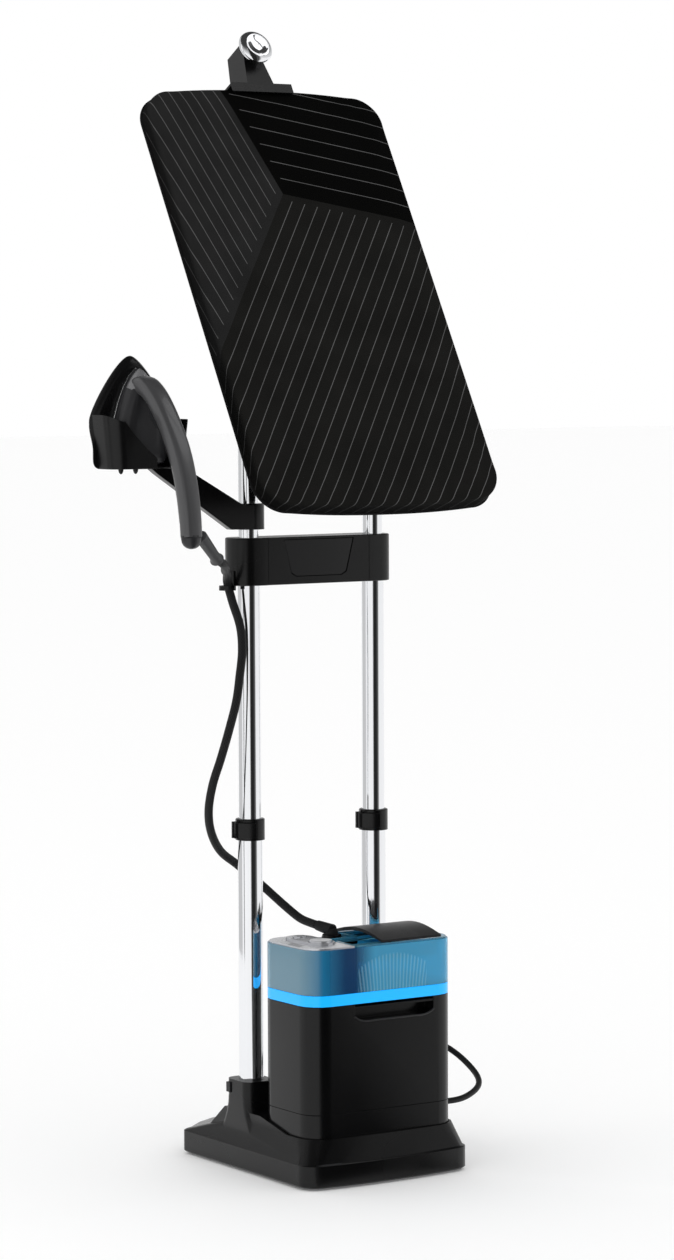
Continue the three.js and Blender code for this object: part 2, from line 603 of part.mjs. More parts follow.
const boardOutline = (inset) => {
  const { half, centre, height, r, arch } = BOARD;
  const flat = height / 2 - arch;
  return plan({
    half: half - inset, front: centre - flat + inset, rear: centre + flat - inset, r: r - inset,
    frontBulge: arch, rearBulge: arch, z: 0,
  }).map((p) => P(p.x, p.y));
};
const boardSlab = (inset, y0, y1) => slabY(boardOutline(inset), y0, y1);
const CORE_FRONT = -BOARD.face + 9;
function boardCore() {
  const back = -BOARD.back;
  const floor = CORE_FRONT + 3;
  const tray = boardSlab(4, CORE_FRONT, back).subtract(boardSlab(7.5, floor, back + 1));
  const ribs = [-1, 1].map((s) => box(s * 61 - 1.5, s * 61 + 1.5, floor - 0.1, back, -300, 340));
  for (let k = -2; k <= 2; k++) {
    const z = BOARD.centre + 102 * k;
    ribs.push(box(-180, 180, floor - 0.1, back, z - 1.5, z + 1.5));
  }
  const hingeBlock = box(-66, 66, floor - 0.1, back, -34, 34);
  return tray.add(union(hingeBlock, ...ribs).intersect(boardSlab(5, floor - 1, back)));
}
add('board_core', boardCore(), 'blackPlastic', board);
function boardCover() {
  const lip = -BOARD.back - 4;
  return boardSlab(0, -BOARD.face, lip).subtract(boardSlab(4 - GAP, CORE_FRONT - GAP, lip + 1));
}
add('board_cover', boardCover(), 'fabric', board);

// Release lever behind the board, under the hinge.
add('tilt_lever', union(
  rod(V(-33.7, -18, -15), V(33.7, -18, -15), 2.8, 2.8, 12),
  slabX([P(-22, -16), P(-14, -16), P(-9, -44), P(-14, -48), P(-19, -46)], -22, 22),
), 'darkGrey', board);

// Hanger rest: a clip over the board's top edge, a wedge tower and a chrome knob.
const topEdge = BOARD.centre + BOARD.height / 2;
function hangerClip() {
  const front = -BOARD.face - GAP;
  const back = -BOARD.back + GAP;
  const bar = slabX([P(front - 3.6, topEdge - 10), P(front, topEdge - 10), P(front, topEdge + GAP),
    P(back, topEdge + GAP), P(back, topEdge - 26), P(back + 3.6, topEdge - 26), P(back + 3.6, topEdge),
    P(-16, topEdge), P(-16, topEdge + 3.5), P(front - 3.6, topEdge + 3.5)], -46, 46);
  const tower = new THREE.BufferGeometry();
  const [zb, zt] = [topEdge + 3, topEdge + 67];
  const corners = [[20.5, -60, -16, zb], [9.5, -60, -19, zt]].flatMap(([h, y0, y1, z]) => [
    V(-h, y0, z), V(h, y0, z), V(h, y1, z), V(-h, y1, z)]);
  tower.setFromPoints(corners);
  const sides = [0, 1, 2, 3].flatMap((a) => {
    const b = (a + 1) % 4;
    return [a, b, b + 4, a, b + 4, a + 4];
  });
  tower.setIndex([0, 2, 1, 0, 3, 2, 4, 5, 6, 4, 6, 7, ...sides]);
  return union(bar, solid(tower));
}
add('hanger_clip', hangerClip(), 'blackPlastic', board);
const KNOB = { z: topEdge + 51.5, r: 24 };
function hangerKnob() {
  const profile = [[0, -7], [5, -7], [5, -2], [17, -2], [22, 0.5], [KNOB.r, 4], [23, 8], [18, 11.5], [9, 13],
    [0, 13]];
  const knob = new THREE.LatheGeometry(profile.map(([r, h]) => P(r, h)), 24);
  knob.rotateX(Math.PI);
  return solid(knob.translate(0, -67.3, KNOB.z));
}
add('hanger_knob', hangerKnob(), 'chrome', board);

// ---------------------------------------------------------------- holder arm and cradle
function holderArm() {
  const x = -POLE_X;
  const collar = turned(x, 0, [[0, 825], [20.5, 825], [20.5, 858], [0, 858]]);
  const arm = slabY([P(-100, 826), P(-134, 826), P(-243, 899), P(-262, 914), P(-266, 955), P(-250, 972),
    P(-226, 972), P(-214, 955), P(-206, 908), P(-116, 857), P(-100, 857)].reverse(), -21.6, -9);
  const bore = TUBE.upper.r + GAP;
  return union(collar, arm).subtract(turned(x, 0, [[0, 800], [bore, 800], [bore, 900], [0, 900]]));
}
add('holder_arm', holderArm(), 'blackPlastic');

function plateOutline(inset) {
  const { halfW, bottom, tip } = CRADLE;
  const shape = new THREE.Shape();
  const w = halfW - inset;
  const b = bottom + inset;
  shape.moveTo(CRADLE_X - w + 10, b);
  shape.lineTo(CRADLE_X + w - 10, b);
  shape.quadraticCurveTo(CRADLE_X + w, b, CRADLE_X + w, b + 12);
  shape.lineTo(CRADLE_X + w, 966);
  shape.bezierCurveTo(CRADLE_X + w, 1000, CRADLE_X + 26, tip - inset, CRADLE_X, tip - inset);
  shape.bezierCurveTo(CRADLE_X - 26, tip - inset, CRADLE_X - w, 1000, CRADLE_X - w, 966);
  shape.lineTo(CRADLE_X - w, b + 12);
  shape.quadraticCurveTo(CRADLE_X - w, b, CRADLE_X - w + 10, b);
  return shape;
}
function cradle() {
  const { plate, depth, wall, bottom } = CRADLE;
  const outer = slabY(plateOutline(0), plate - depth, plate);
  const inner = slabY(plateOutline(wall), plate - depth + wall, plate - wall);
  const keep = slabY([P(-400, 880), P(-150, 880), P(-150, 968), P(-222, 968), P(-236, 930), P(-248, 918),
    P(-268, 918), P(-286, 932), P(-322, 966), P(-345, 976), P(-400, 976)], plate - depth - 1, plate - wall);
  const notch = box(-270, -246, plate - depth - 1, plate - depth + 24, bottom - 1, 950);
  const back = slabY(plateOutline(0), plate - wall, plate);
  const nubs = [-320, -298].map((x) => box(x - 3, x + 3, -66, -58, bottom - 6, bottom + 1));
  return union(outer.subtract(inner).intersect(keep).subtract(notch), back, ...nubs);
}
add('holder_cradle', cradle(), 'blackPlastic');

// ---------------------------------------------------------------- hand iron
const IRON = { back: CRADLE.plate - CRADLE.wall - GAP, tip: 1032, heel: 910.5, half: 38, x: -280 };
function ironOutline(inset) {
  const { x, tip, heel, half } = IRON;
  const shape = new THREE.Shape();
  const w = half - inset;
  shape.moveTo(x - w + 9, heel + inset);
  shape.lineTo(x + w - 9, heel + inset);
  shape.quadraticCurveTo(x + w, heel + inset, x + w, heel + inset + 10);
  shape.bezierCurveTo(x + w, 970, x + 18, tip - inset - 10, x, tip - inset);
  shape.bezierCurveTo(x - 18, tip - inset - 10, x - w, 970, x - w, heel + inset + 10);
  shape.quadraticCurveTo(x - w, heel + inset, x - w + 9, heel + inset);
  return shape;
}
add('iron_soleplate', slabY(ironOutline(0), IRON.back - 5, IRON.back), 'silver');
function ironShell() {
  const steps = [[1.5, 5.3, 14], [4, 13.9, 22], [9, 21.9, 28]];
  return union(...steps.map(([inset, y0, y1]) => slabY(ironOutline(inset), IRON.back - y1, IRON.back - y0)));
}
const HANDLE_POINTS = [
  V(IRON.x, -46, 1008), V(IRON.x, -69, 1003), V(IRON.x, -90, 989), V(IRON.x, -119, 956),
  V(IRON.x, -140, 922), V(IRON.x, -154, 883), V(IRON.x, -161, 848), V(IRON.x, -163, 822),
];
function ironBody() {
  const nose = rod(V(IRON.x, -50, 1002), V(IRON.x, -72, 1000), 14, 13, 20);
  const arch = tube(HANDLE_POINTS, 13, 10, 14);
  const heel = rod(V(IRON.x, -163, 824), V(IRON.x, -162, 812), 13, 9, 12);
  const pocket = box(IRON.x - 6.5, IRON.x + 6.5, -102.4, -70, 955, 987);
  return union(ironShell(), nose, arch, heel).subtract(pocket);
}
add('iron_body', ironBody(), 'graphite');
const TRIGGER_OUTLINE = [P(-73, 974), P(-88, 958), P(-96, 956.5), P(-99, 962), P(-79, 984), P(-72, 984)];
add('iron_trigger', slabX(TRIGGER_OUTLINE, IRON.x - 5.8, IRON.x + 5.8), 'darkGrey');

const RELIEF = { from: V(-271, -158, 815), to: V(-224, -132, 795) };
const reliefAxis = RELIEF.to.clone().sub(RELIEF.from).normalize();
const alongRelief = (from, distance) => from.clone().addScaledVector(reliefAxis, distance);
add('iron_relief', union(
  rod(alongRelief(RELIEF.from, 6), alongRelief(RELIEF.to, -6), 9, 7.5),
  rod(alongRelief(RELIEF.to, -7), alongRelief(RELIEF.to, -GAP), 7.5, 10),
), 'rubber');

// ---------------------------------------------------------------- steam hose
const HOSE_POINTS = [
  HOSE_START, V(-22.9, -30.5, 314.9), V(-27, -12, 319), V(-35, 12, 333), V(-56, 34, 359), V(-90, 40, 388),
  V(-121, 31, 409), V(-146, 14, 438), V(-159, -2, 468), V(-160, -14, 502), V(-154, -24, 535),
  V(-145, -30, 572), V(-135, -32, 609), V(-128, -29, 640), V(-121, -24, 672), V(-120, -18, 702), V(-126, -9, 734),
  V(-130, -4, 757), V(-144, -26, 770), V(-168, -60, 777), V(-194, -102, 784), V(-212, -125, 790.1), RELIEF.to,
];
add('steam_hose', tube(HOSE_POINTS, HOSE_R, 8, 54), 'rubber');

export default steamer;
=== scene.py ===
"""The looks of a garment steamer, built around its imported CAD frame. Metres, +Z up, -Y is the front."""
import json
import math

import bmesh
import bpy
from mathutils import Matrix, Vector


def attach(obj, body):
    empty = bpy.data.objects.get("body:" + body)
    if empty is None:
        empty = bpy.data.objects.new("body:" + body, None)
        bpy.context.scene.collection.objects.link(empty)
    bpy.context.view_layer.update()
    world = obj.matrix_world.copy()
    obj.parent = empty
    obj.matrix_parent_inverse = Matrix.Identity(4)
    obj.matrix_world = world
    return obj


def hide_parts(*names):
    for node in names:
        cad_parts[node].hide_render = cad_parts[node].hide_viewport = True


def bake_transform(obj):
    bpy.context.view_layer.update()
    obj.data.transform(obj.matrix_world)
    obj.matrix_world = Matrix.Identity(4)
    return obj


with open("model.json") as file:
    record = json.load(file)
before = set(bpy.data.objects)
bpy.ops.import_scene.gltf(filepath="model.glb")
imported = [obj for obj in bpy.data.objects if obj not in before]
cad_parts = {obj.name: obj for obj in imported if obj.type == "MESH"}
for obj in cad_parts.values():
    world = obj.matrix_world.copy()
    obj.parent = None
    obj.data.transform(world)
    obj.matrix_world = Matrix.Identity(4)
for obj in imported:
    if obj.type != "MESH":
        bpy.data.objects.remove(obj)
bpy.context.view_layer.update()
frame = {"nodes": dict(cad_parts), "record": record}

MM = 0.001
PIVOT = Vector((0, 0, 1.075))  # the board's hinge
TILT = math.radians(29.5)  # how far the board leans back


def mm(*values):
    return Vector(values) * MM


def add_object(name, data):
    obj = bpy.data.objects.new(name, data)
    bpy.context.scene.collection.objects.link(obj)
    return obj


# ---------------------------------------------------------------- camera and studio
def make_camera():
    """The camera: 33.4 degrees to the left of the front, 4 degrees above level."""
    azimuth, pitch, roll = (math.radians(a) for a in (-33.406, 4.003, -0.242))
    place = (-2.7854, -4.28345, 1.04899)
    flat = math.cos(pitch)
    back = Vector((math.sin(azimuth) * flat, -math.cos(azimuth) * flat, math.sin(pitch)))
    level = Vector((math.cos(azimuth), math.sin(azimuth), 0))
    above = back.cross(level)
    right = math.cos(roll) * level + math.sin(roll) * above
    up = math.cos(roll) * above - math.sin(roll) * level
    camera = add_object("camera", bpy.data.cameras.new("camera"))
    camera.data.sensor_width = 36
    camera.data.lens = 113.0
    camera.data.clip_end = 100
    camera.matrix_world = Matrix.Translation(place) @ Matrix((right, up, back)).transposed().to_4x4()
    bpy.context.scene.camera = camera


def area_light(name, place, target, size, power):
    data = bpy.data.lights.new(name, "AREA")
    data.shape = "RECTANGLE"
    data.size, data.size_y = size
    data.energy = power
    light = add_object(name, data)
    light.location = place
    light.rotation_mode = "QUATERNION"
    light.rotation_quaternion = (Vector(target) - Vector(place)).to_track_quat("-Z", "Y")


def studio_paint(name, grey, roughness, specular, glow):
    """Plain paint that also glows a little white."""
    paint = bpy.data.materials.new(name)
    paint.use_nodes = True
    bsdf = paint.node_tree.nodes["Principled BSDF"]
    bsdf.inputs["Base Color"].default_value = (grey, grey, grey, 1)
    bsdf.inputs["Roughness"].default_value = roughness
    bsdf.inputs["Specular IOR Level"].default_value = specular
    bsdf.inputs["Emission Color"].default_value = (1, 1, 1, 1)
    bsdf.inputs["Emission Strength"].default_value = glow
    return paint


def glossy_card(name, vertices, faces, brightness):
    """A card of the studio set that only glossy surfaces reflect."""
    mesh = bpy.data.meshes.new(name)
    mesh.from_pydata(vertices, [], faces)
    card = add_object(name, mesh)
    mesh.materials.append(studio_paint(name, 0, 1, 0, brightness))
    for flag in ("visible_camera", "visible_diffuse", "visible_transmission", "visible_shadow",
                 "visible_volume_scatter"):
        setattr(card, flag, False)


def card_fan(start, end, low, high):
    """A strip from low to high, both (distance, height), swept from one angle to another about the centre."""
    count = 12
    vertices = []
    for i in range(count + 1):
        angle = math.radians(start + (end - start) * i / count)
        for distance, z in (low, high):
            vertices.append((distance * math.sin(angle), -distance * math.cos(angle), z))
    return vertices, [(2 * i, 2 * i + 2, 2 * i + 3, 2 * i + 1) for i in range(count)]


def card_panel(centre, target, left, right, half_height):
    """A flat panel that faces the target; left and right are its sides' offsets from the centre."""
    facing = (Vector(target) - Vector(centre)).normalized()
    across = facing.cross(Vector((0, 0, 1))).normalized()
    above = across.cross(facing)
    corners = ((left, -half_height), (right, -half_height), (right, half_height), (left, half_height))
    return [Vector(centre) + across * a + above * b for a, b in corners], [(0, 1, 2, 3)]


def make_world():
    """White to the camera and for soft light; glossy surfaces see it bright at the horizon, dim overhead."""
    world = bpy.data.worlds.new("studio")
    bpy.context.scene.world = world
    world.use_nodes = True
    tree = world.node_tree
    tree.nodes.clear()
    output = tree.nodes.new("ShaderNodeOutputWorld")
    white, dome = (tree.nodes.new("ShaderNodeBackground") for _ in range(2))
    white.inputs["Color"].default_value = (1, 1, 1, 1)
    ray = tree.nodes.new("ShaderNodeLightPath")
    choose = tree.nodes.new("ShaderNodeMixShader")
    coords = tree.nodes.new("ShaderNodeTexCoord")
    axes = tree.nodes.new("ShaderNodeSeparateXYZ")
    height = tree.nodes.new("ShaderNodeMapRange")
    for socket, value in (("From Min", 0.05), ("From Max", 0.75), ("To Min", 0.9), ("To Max", 0.06)):
        height.inputs[socket].default_value = value
    height.interpolation_type = "SMOOTHSTEP"
    tree.links.new(coords.outputs["Generated"], axes.inputs[0])
    tree.links.new(axes.outputs["Z"], height.inputs["Value"])
    tree.links.new(height.outputs["Result"], dome.inputs["Strength"])
    tree.links.new(ray.outputs["Is Glossy Ray"], choose.inputs[0])
    tree.links.new(white.outputs[0], choose.inputs[1])
    tree.links.new(dome.outputs[0], choose.inputs[2])
    tree.links.new(choose.outputs[0], output.inputs[0])


def make_cards():
    """Dark and grey bands round the object and on the floor, and two bright panels above it."""
    low, high = (1.9, -0.2), (1.9, 3.2)
    near, far = (0.23, 0.0015), (1.9, 0.0015)
    steps = [(-30, -24, 0.3), (-24, 10, 0.02), (10, 24, 0.08), (24, 29, 0.35), (29, 34, 0.7)]
    for number, (start, end, brightness) in enumerate(steps):
        glossy_card(f"flag_{number}", *card_fan(start, end, low, high), brightness)
        glossy_card(f"flag_floor_{number}", *card_fan(start, end, near, far), brightness * 0.8)
    glossy_card("flag_left", *card_fan(-96, -88, low, high), 0.25)
    glossy_card("flag_back_left", *card_fan(-172, -112, low, high), 0.62)
    above = (0.85, -0.75, 2.5)
    for side, left, right in (("left", -0.6, -0.06), ("right", 0.06, 0.6)):
        glossy_card(f"box_above_{side}", *card_panel(above, (0, 0, 1.4), left, right, 0.6), 1.3)


def make_studio():
    bpy.context.scene.view_settings.view_transform = "Standard"
    make_world()
    area_light("key", (-3.4, 0.4, 2.4), (0, 0, 0.7), (1.6, 2.6), 9)
    make_cards()
    bpy.ops.mesh.primitive_plane_add(size=80, location=(0, 0, 0))
    floor = bpy.context.object
    floor.name = "floor"
    floor.data.materials.append(studio_paint("floor_white", 0.93, 0.8, 0.1, 0.08))


# ---------------------------------------------------------------- materials
class Shade:
    """A Principled material, with short ways to wire its textures in object coordinates."""

    def __init__(self, name, color, roughness, **sockets):
        self.material = bpy.data.materials.new(name)
        self.material.use_nodes = True
        self.tree = self.material.node_tree
        self.bsdf = self.tree.nodes["Principled BSDF"]
        self.bsdf.inputs["Base Color"].default_value = (*color, 1)
        self.bsdf.inputs["Roughness"].default_value = roughness
        self.color = color
        self.roughness = roughness
        for socket, value in sockets.items():
            self.bsdf.inputs[socket.replace("_", " ")].default_value = value
        self.coords = self.tree.nodes.new("ShaderNodeTexCoord").outputs["Object"]

    def link(self, source, target):
        if hasattr(source, "links"):
            self.tree.links.new(source, target)
        else:
            target.default_value = source

    def math(self, operation, a, b=0.0):
        node = self.tree.nodes.new("ShaderNodeMath")
        node.operation = operation
        self.link(a, node.inputs[0])
        self.link(b, node.inputs[1])
        return node.outputs[0]

    def times(self, a, b):
        return self.math("MULTIPLY", a, b)

    def minus(self, a, b):
        return self.math("SUBTRACT", a, b)

    def wave(self, distance, length):
        """A sine along a distance."""
        return self.math("SINE", self.times(distance, 2 * math.pi / length))

    def noise(self, scale, detail=2.0):
        node = self.tree.nodes.new("ShaderNodeTexNoise")
        node.inputs["Scale"].default_value = scale
        node.inputs["Detail"].default_value = detail
        self.link(self.coords, node.inputs["Vector"])
        return node.outputs["Fac"]

    def axes(self, source):
        """The X, Y and Z of a vector."""
        node = self.tree.nodes.new("ShaderNodeSeparateXYZ")
        self.link(source, node.inputs[0])
        return node.outputs

    def uv(self, name):
        node = self.tree.nodes.new("ShaderNodeUVMap")
        node.uv_map = name
        return self.axes(node.outputs[0])

    def ranged(self, value, low, high, start=0.0, end=1.0):
        node = self.tree.nodes.new("ShaderNodeMapRange")
        self.link(value, node.inputs["Value"])
        for socket, number in (("From Min", start), ("From Max", end), ("To Min", low), ("To Max", high)):
            node.inputs[socket].default_value = number
        return node.outputs["Result"]

    def mix(self, factor, a, b):
        node = self.tree.nodes.new("ShaderNodeMix")
        node.data_type = "RGBA"
        self.link(factor, node.inputs["Factor"])
        for value, socket in ((a, node.inputs["A"]), (b, node.inputs["B"])):
            self.link((*value, 1) if isinstance(value, tuple) else value, socket)
        return node.outputs["Result"]

    def bump(self, height, strength, distance):
        node = self.tree.nodes.new("ShaderNodeBump")
        node.inputs["Strength"].default_value = strength
        node.inputs["Distance"].default_value = distance
        self.link(height, node.inputs["Height"])
        previous = self.bsdf.inputs["Normal"]
        if previous.is_linked:
            self.link(previous.links[0].from_socket, node.inputs["Normal"])
        self.link(node.outputs[0], previous)

    def grain(self, scale=1500.0, strength=0.12, distance=0.0004, rough=0.06, tone=0.25):
        """Moulded texture: fine bumps, and a slow drift in roughness and tone."""
        drift = self.noise(9.0)
        self.link(self.ranged(drift, self.roughness - rough, self.roughness + rough, 0.3, 0.7),
                  self.bsdf.inputs["Roughness"])
        dark = tuple(c * (1 - tone) for c in self.color)
        light = tuple(min(1.0, c * (1 + tone)) for c in self.color)
        self.link(self.mix(drift, dark, light), self.bsdf.inputs["Base Color"])
        self.bump(self.noise(scale), strength, distance)
        return self


def grained(name, color, roughness, specular, grain=(), **sockets):
    """A moulded or metal surface. grain: scale, bump strength and depth, drift in roughness and in tone."""
    return Shade(name, color, roughness, Specular_IOR_Level=specular, **sockets).grain(*grain).material


def clear_blue():
    clear = Shade("clear_blue", (0.16, 0.58, 0.78), 0.06, Transmission_Weight=0.75, IOR=1.4)
    clear.link(clear.ranged(clear.noise(14.0), 0.05, 0.1), clear.bsdf.inputs["Roughness"])
    clear.bump(clear.noise(60.0), 0.03, 0.0006)
    return clear.material


def make_finishes():
    """One material for each of the record's slots, by slot name."""
    metal = {"Metallic": 1.0}
    coated = {"Metallic": 0.7, "Coat_Weight": 0.4}
    # painted light: the cyan band glows faintly blue though it is no lamp, so that it looks brightly lit
    glow = {"Emission_Color": (0.0, 0.42, 1.0, 1), "Emission_Strength": 0.35}
    plain = {
        "satin_black": ((0.0022, 0.0022, 0.0024), 0.27, 0.3, (), {}),
        "semi_gloss_black": ((0.002, 0.002, 0.0022), 0.2, 0.28, (900.0, 0.05), {}),
        "gloss_black": ((0.003, 0.003, 0.0033), 0.14, 0.3, (700.0, 0.03, 0.0003, 0.03), {}),
        "chrome": ((0.86, 0.87, 0.89), 0.06, 0.5, (400.0, 0.01, 0.0002, 0.02, 0.03), metal),
        "cyan": ((0.0, 0.36, 0.9), 0.22, 0.5, (900.0, 0.03, 0.0003, 0.03, 0.06), glow),
        "silver": ((0.62, 0.63, 0.66), 0.24, 0.5, (2500.0, 0.02, 0.0002), coated),
        "sole_metal": ((0.8, 0.81, 0.83), 0.18, 0.5, (600.0, 0.02, 0.0002), metal),
        "graphite": ((0.022, 0.022, 0.024), 0.3, 0.4, (2200.0, 0.05, 0.0003), {"Metallic": 0.2}),
        "dark_grey": ((0.014, 0.0145, 0.016), 0.42, 0.3, (), {}),
        "steel": ((0.42, 0.43, 0.45), 0.4, 0.5, (300.0, 0.1), metal),
        "boiler_metal": ((0.5, 0.51, 0.53), 0.5, 0.5, (500.0, 0.3), metal),
        "brass": ((0.7, 0.52, 0.2), 0.3, 0.5, (400.0, 0.05), metal),
        "rubber": ((0.007, 0.007, 0.0075), 0.6, 0.3, (1800.0, 0.2), {}),
        "cord_rubber": ((0.006, 0.006, 0.0065), 0.5, 0.3, (1600.0, 0.15), {}),
        "cover_fabric": ((0.012, 0.012, 0.012), 0.85, 0.5, (2500.0, 0.3, 0.0005), {}),
        "board_green": ((0.02, 0.12, 0.06), 0.5, 0.5, (), {}),
    }
    made = {slot: grained(slot, color, roughness, specular, grain, **sockets)
            for slot, (color, roughness, specular, grain, sockets) in plain.items()}
    made["clear_blue"] = clear_blue()
    return made


# ---------------------------------------------------------------- mesh helpers
def new_piece(name, vertices, faces, slot, body, replaces=(), uv=None, ride=True):
    mesh = bpy.data.meshes.new(name)
    mesh.from_pydata([tuple(v) for v in vertices], [], faces)
    mesh.validate()
    if uv is not None:
        layer = mesh.uv_layers.new(name="along")
        for loop in mesh.loops:
            layer.data[loop.index].uv = uv[loop.vertex_index]
    mesh.polygons.foreach_set("use_smooth", [True] * len(mesh.polygons))
    mesh.materials.append(FINISH[slot])
    obj = add_object(name, mesh)
    if ride:
        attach(obj, body)
    if replaces:
        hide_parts(*replaces)
    return obj


def catmull(points, spacing):
    """A smooth path through the points (centripetal Catmull-Rom), with a point about every spacing."""
    points = [Vector(p) for p in points]
    ends = [2 * points[0] - points[1], *points, 2 * points[-1] - points[-2]]
    path = []
    for a, b, c, d in zip(ends, ends[1:], ends[2:], ends[3:]):
        knots = [0.0]
        for p, q in ((a, b), (b, c), (c, d)):
            knots.append(knots[-1] + max((q - p).length, 1e-9) ** 0.5)
        t0, t1, t2, t3 = knots
        count = max(2, round((c - b).length / spacing))
        for i in range(count):
            t = t1 + (t2 - t1) * i / count
            ab = a * ((t1 - t) / (t1 - t0)) + b * ((t - t0) / (t1 - t0))
            bc = b * ((t2 - t) / (t2 - t1)) + c * ((t - t1) / (t2 - t1))
            cd = c * ((t3 - t) / (t3 - t2)) + d * ((t - t2) / (t3 - t2))
            abc = ab * ((t2 - t) / (t2 - t0)) + bc * ((t - t0) / (t2 - t0))
            bcd = bc * ((t3 - t) / (t3 - t1)) + cd * ((t - t1) / (t3 - t1))
            path.append(abc * ((t2 - t) / (t2 - t1)) + bcd * ((t - t1) / (t2 - t1)))
    return path + [points[-1]]


def eased(path):
    """The same path with its tight bends spread out; both ends stay put."""
    for _ in range(12):
        middle = [(a + 2 * b + c) / 4 for a, b, c in zip(path, path[1:], path[2:])]
        path = [path[0], *middle, path[-1]]
    return path


def path_length(path):
    return sum((b - a).length for a, b in zip(path, path[1:]))


def grid(rings, close_ends=True):
    """Vertices and faces of a closed surface through rings of equal point count."""
    count = len(rings[0])
    vertices = [v for ring in rings for v in ring]
    faces = []
    for k in range(len(rings) - 1):
        for j in range(count):
            a, b = k * count + j, k * count + (j + 1) % count
            faces.append((a, b, b + count, a + count))
    if close_ends:
        faces.append(tuple(reversed(range(count))))
        faces.append(tuple(range((len(rings) - 1) * count, len(rings) * count)))
    return vertices, faces


def circle(count):
    """The cosine and sine at each of count even steps round a circle."""
    angles = [2 * math.pi * j / count for j in range(count)]
    return [(math.cos(a), math.sin(a)) for a in angles]


def sweep(path, radius, sides=20, wide=None, up=None):
    """Rings of round or oval section along a path. radius and wide may be functions of the share 0..1."""
    length = path_length(path)
    run = 0.0
    rings = []
    uv = []
    normal = Vector(up) if up else None
    for i, point in enumerate(path):
        ahead = path[min(i + 1, len(path) - 1)] - path[max(i - 1, 0)]
        ahead.normalize()
        if normal is None:
            normal = ahead.orthogonal()
        normal = (normal - ahead * normal.dot(ahead)).normalized()
        across = ahead.cross(normal)
        share = run / length
        r = radius(share) if callable(radius) else radius
        w = wide(share) if callable(wide) else r
        rings.append([point + normal * (r * c) + across * (w * s) for c, s in circle(sides)])
        uv += [(j / sides, run) for j in range(sides)]
        if i + 1 < len(path):
            run += (path[i + 1] - point).length
    return rings, uv


def tube_piece(name, path, radius, sides, slot, body, replaces=(), ride=True):
    rings, uv = sweep(path, radius, sides)
    return new_piece(name, *grid(rings), slot, body, replaces, uv, ride)


# ---------------------------------------------------------------- cords
HOSE_D = 11 * MM
CORD_D = 8 * MM
PATH_STEP = 4 * MM
HOSE_POINTS = [
    mm(-20, -42, 313), mm(-22.9, -30.5, 314.9), mm(-27, -12, 319), mm(-35, 12, 333), mm(-56, 34, 359),
    mm(-90, 40, 388), mm(-121, 31, 409), mm(-146, 14, 438), mm(-159, -2, 468), mm(-160, -14, 502),
    mm(-154, -24, 535), mm(-145, -30, 572), mm(-135, -32, 609), mm(-128, -29, 640), mm(-121, -24, 672),
    mm(-120, -18, 702), mm(-126, -9, 734), mm(-130, -4, 757), mm(-144, -26, 770), mm(-168, -60, 777),
    mm(-194, -102, 784), mm(-212, -125, 790.1), mm(-224, -132, 795),
]
HOSE_CLIP, HOSE_MIDDLE = 17, 19  # the points where it passes the clip, and half way on to the iron
CORD_POINTS = [
    mm(148, -78, 70), mm(162, -78, 70), mm(180, -77, 70), mm(200, -70, 73), mm(221, -57, 77),
    mm(236, -42, 81), mm(245, -24, 87), mm(249, -5, 94), mm(246, 13, 105), mm(236, 28, 117),
    mm(220, 37, 126), mm(200, 41, 131), mm(178, 41, 132), mm(156, 40, 128), mm(136, 40, 118),
    mm(118, 40, 109.5), mm(104, 41, 107), mm(94, 47, 95), mm(89, 58, 78), mm(87, 74, 65), mm(86, 92, 58),
    mm(84, 112, 52), mm(81, 132, 46), mm(78, 152, 40), mm(75, 168, 29), mm(74, 181, 14),
    mm(78, 191, 5.5), mm(84, 201, 4), mm(87.7, 212, 4),
]
COIL_AT = mm(148, 212, 0)
COIL_RADII = [52 * MM, 44 * MM, 36 * MM]
PLUG_AT = mm(140, 210, 27.3)
COIL_LIFT = 0.9 * MM  # the strap's thickness, under the turns
COIL_START = 60.3 * MM  # how far from the coil's middle the cord arrives


def smoothstep(t):
    return t * t * (3 - 2 * t)


def coil_path():
    """The coil's turns, clockwise from above: inwards on the floor, then outwards on top of them."""
    radii = [*COIL_RADII, *reversed(COIL_RADII)]
    steps = 36
    path = []
    for turn, radius in enumerate(radii):
        before = radii[turn - 1] if turn else COIL_START
        for i in range(steps):
            share = i / steps
            ease = smoothstep(min(1.0, share * 4))
            r = before + (radius - before) * ease
            z = CORD_D * (0.5 if turn < 3 else 1.5) + COIL_LIFT
            if turn == 0:
                z = CORD_D * 0.5 + COIL_LIFT * ease
            if turn == 3:
                z = CORD_D * (0.5 + ease) + COIL_LIFT
            angle = math.pi - 2 * math.pi * share
            path.append(COIL_AT + Vector((r * math.cos(angle), r * math.sin(angle), z)))
    for i in range(round(steps * 0.5) + 1):
        angle = math.pi - 2 * math.pi * i / steps
        r = COIL_RADII[0]
        path.append(COIL_AT + Vector((r * math.cos(angle), r * math.sin(angle), CORD_D * 1.5 + COIL_LIFT)))
    tail = [path[-1], mm(200, 198, 12.9), mm(200.3, 184, 12.9), mm(199.8, 168, 13.2), mm(195, 152, 14),
            mm(184, 141, 15.2), mm(170, 136.8, 16.6), mm(156, 140.5, 18.4), mm(145.5, 150, 20.6),
            mm(140.8, 161, 22.6), mm(140, 170, 24)]
    return path[:-1] + eased(catmull(tail, PATH_STEP))


def hose_piece(name, path, bodies, replaces=()):
    hose = tube_piece(name, path, HOSE_D / 2, 24, "cord_rubber", bodies[0], replaces, ride=False)
    hose.data.materials[0] = FINISH["braid"]
    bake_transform(hose)


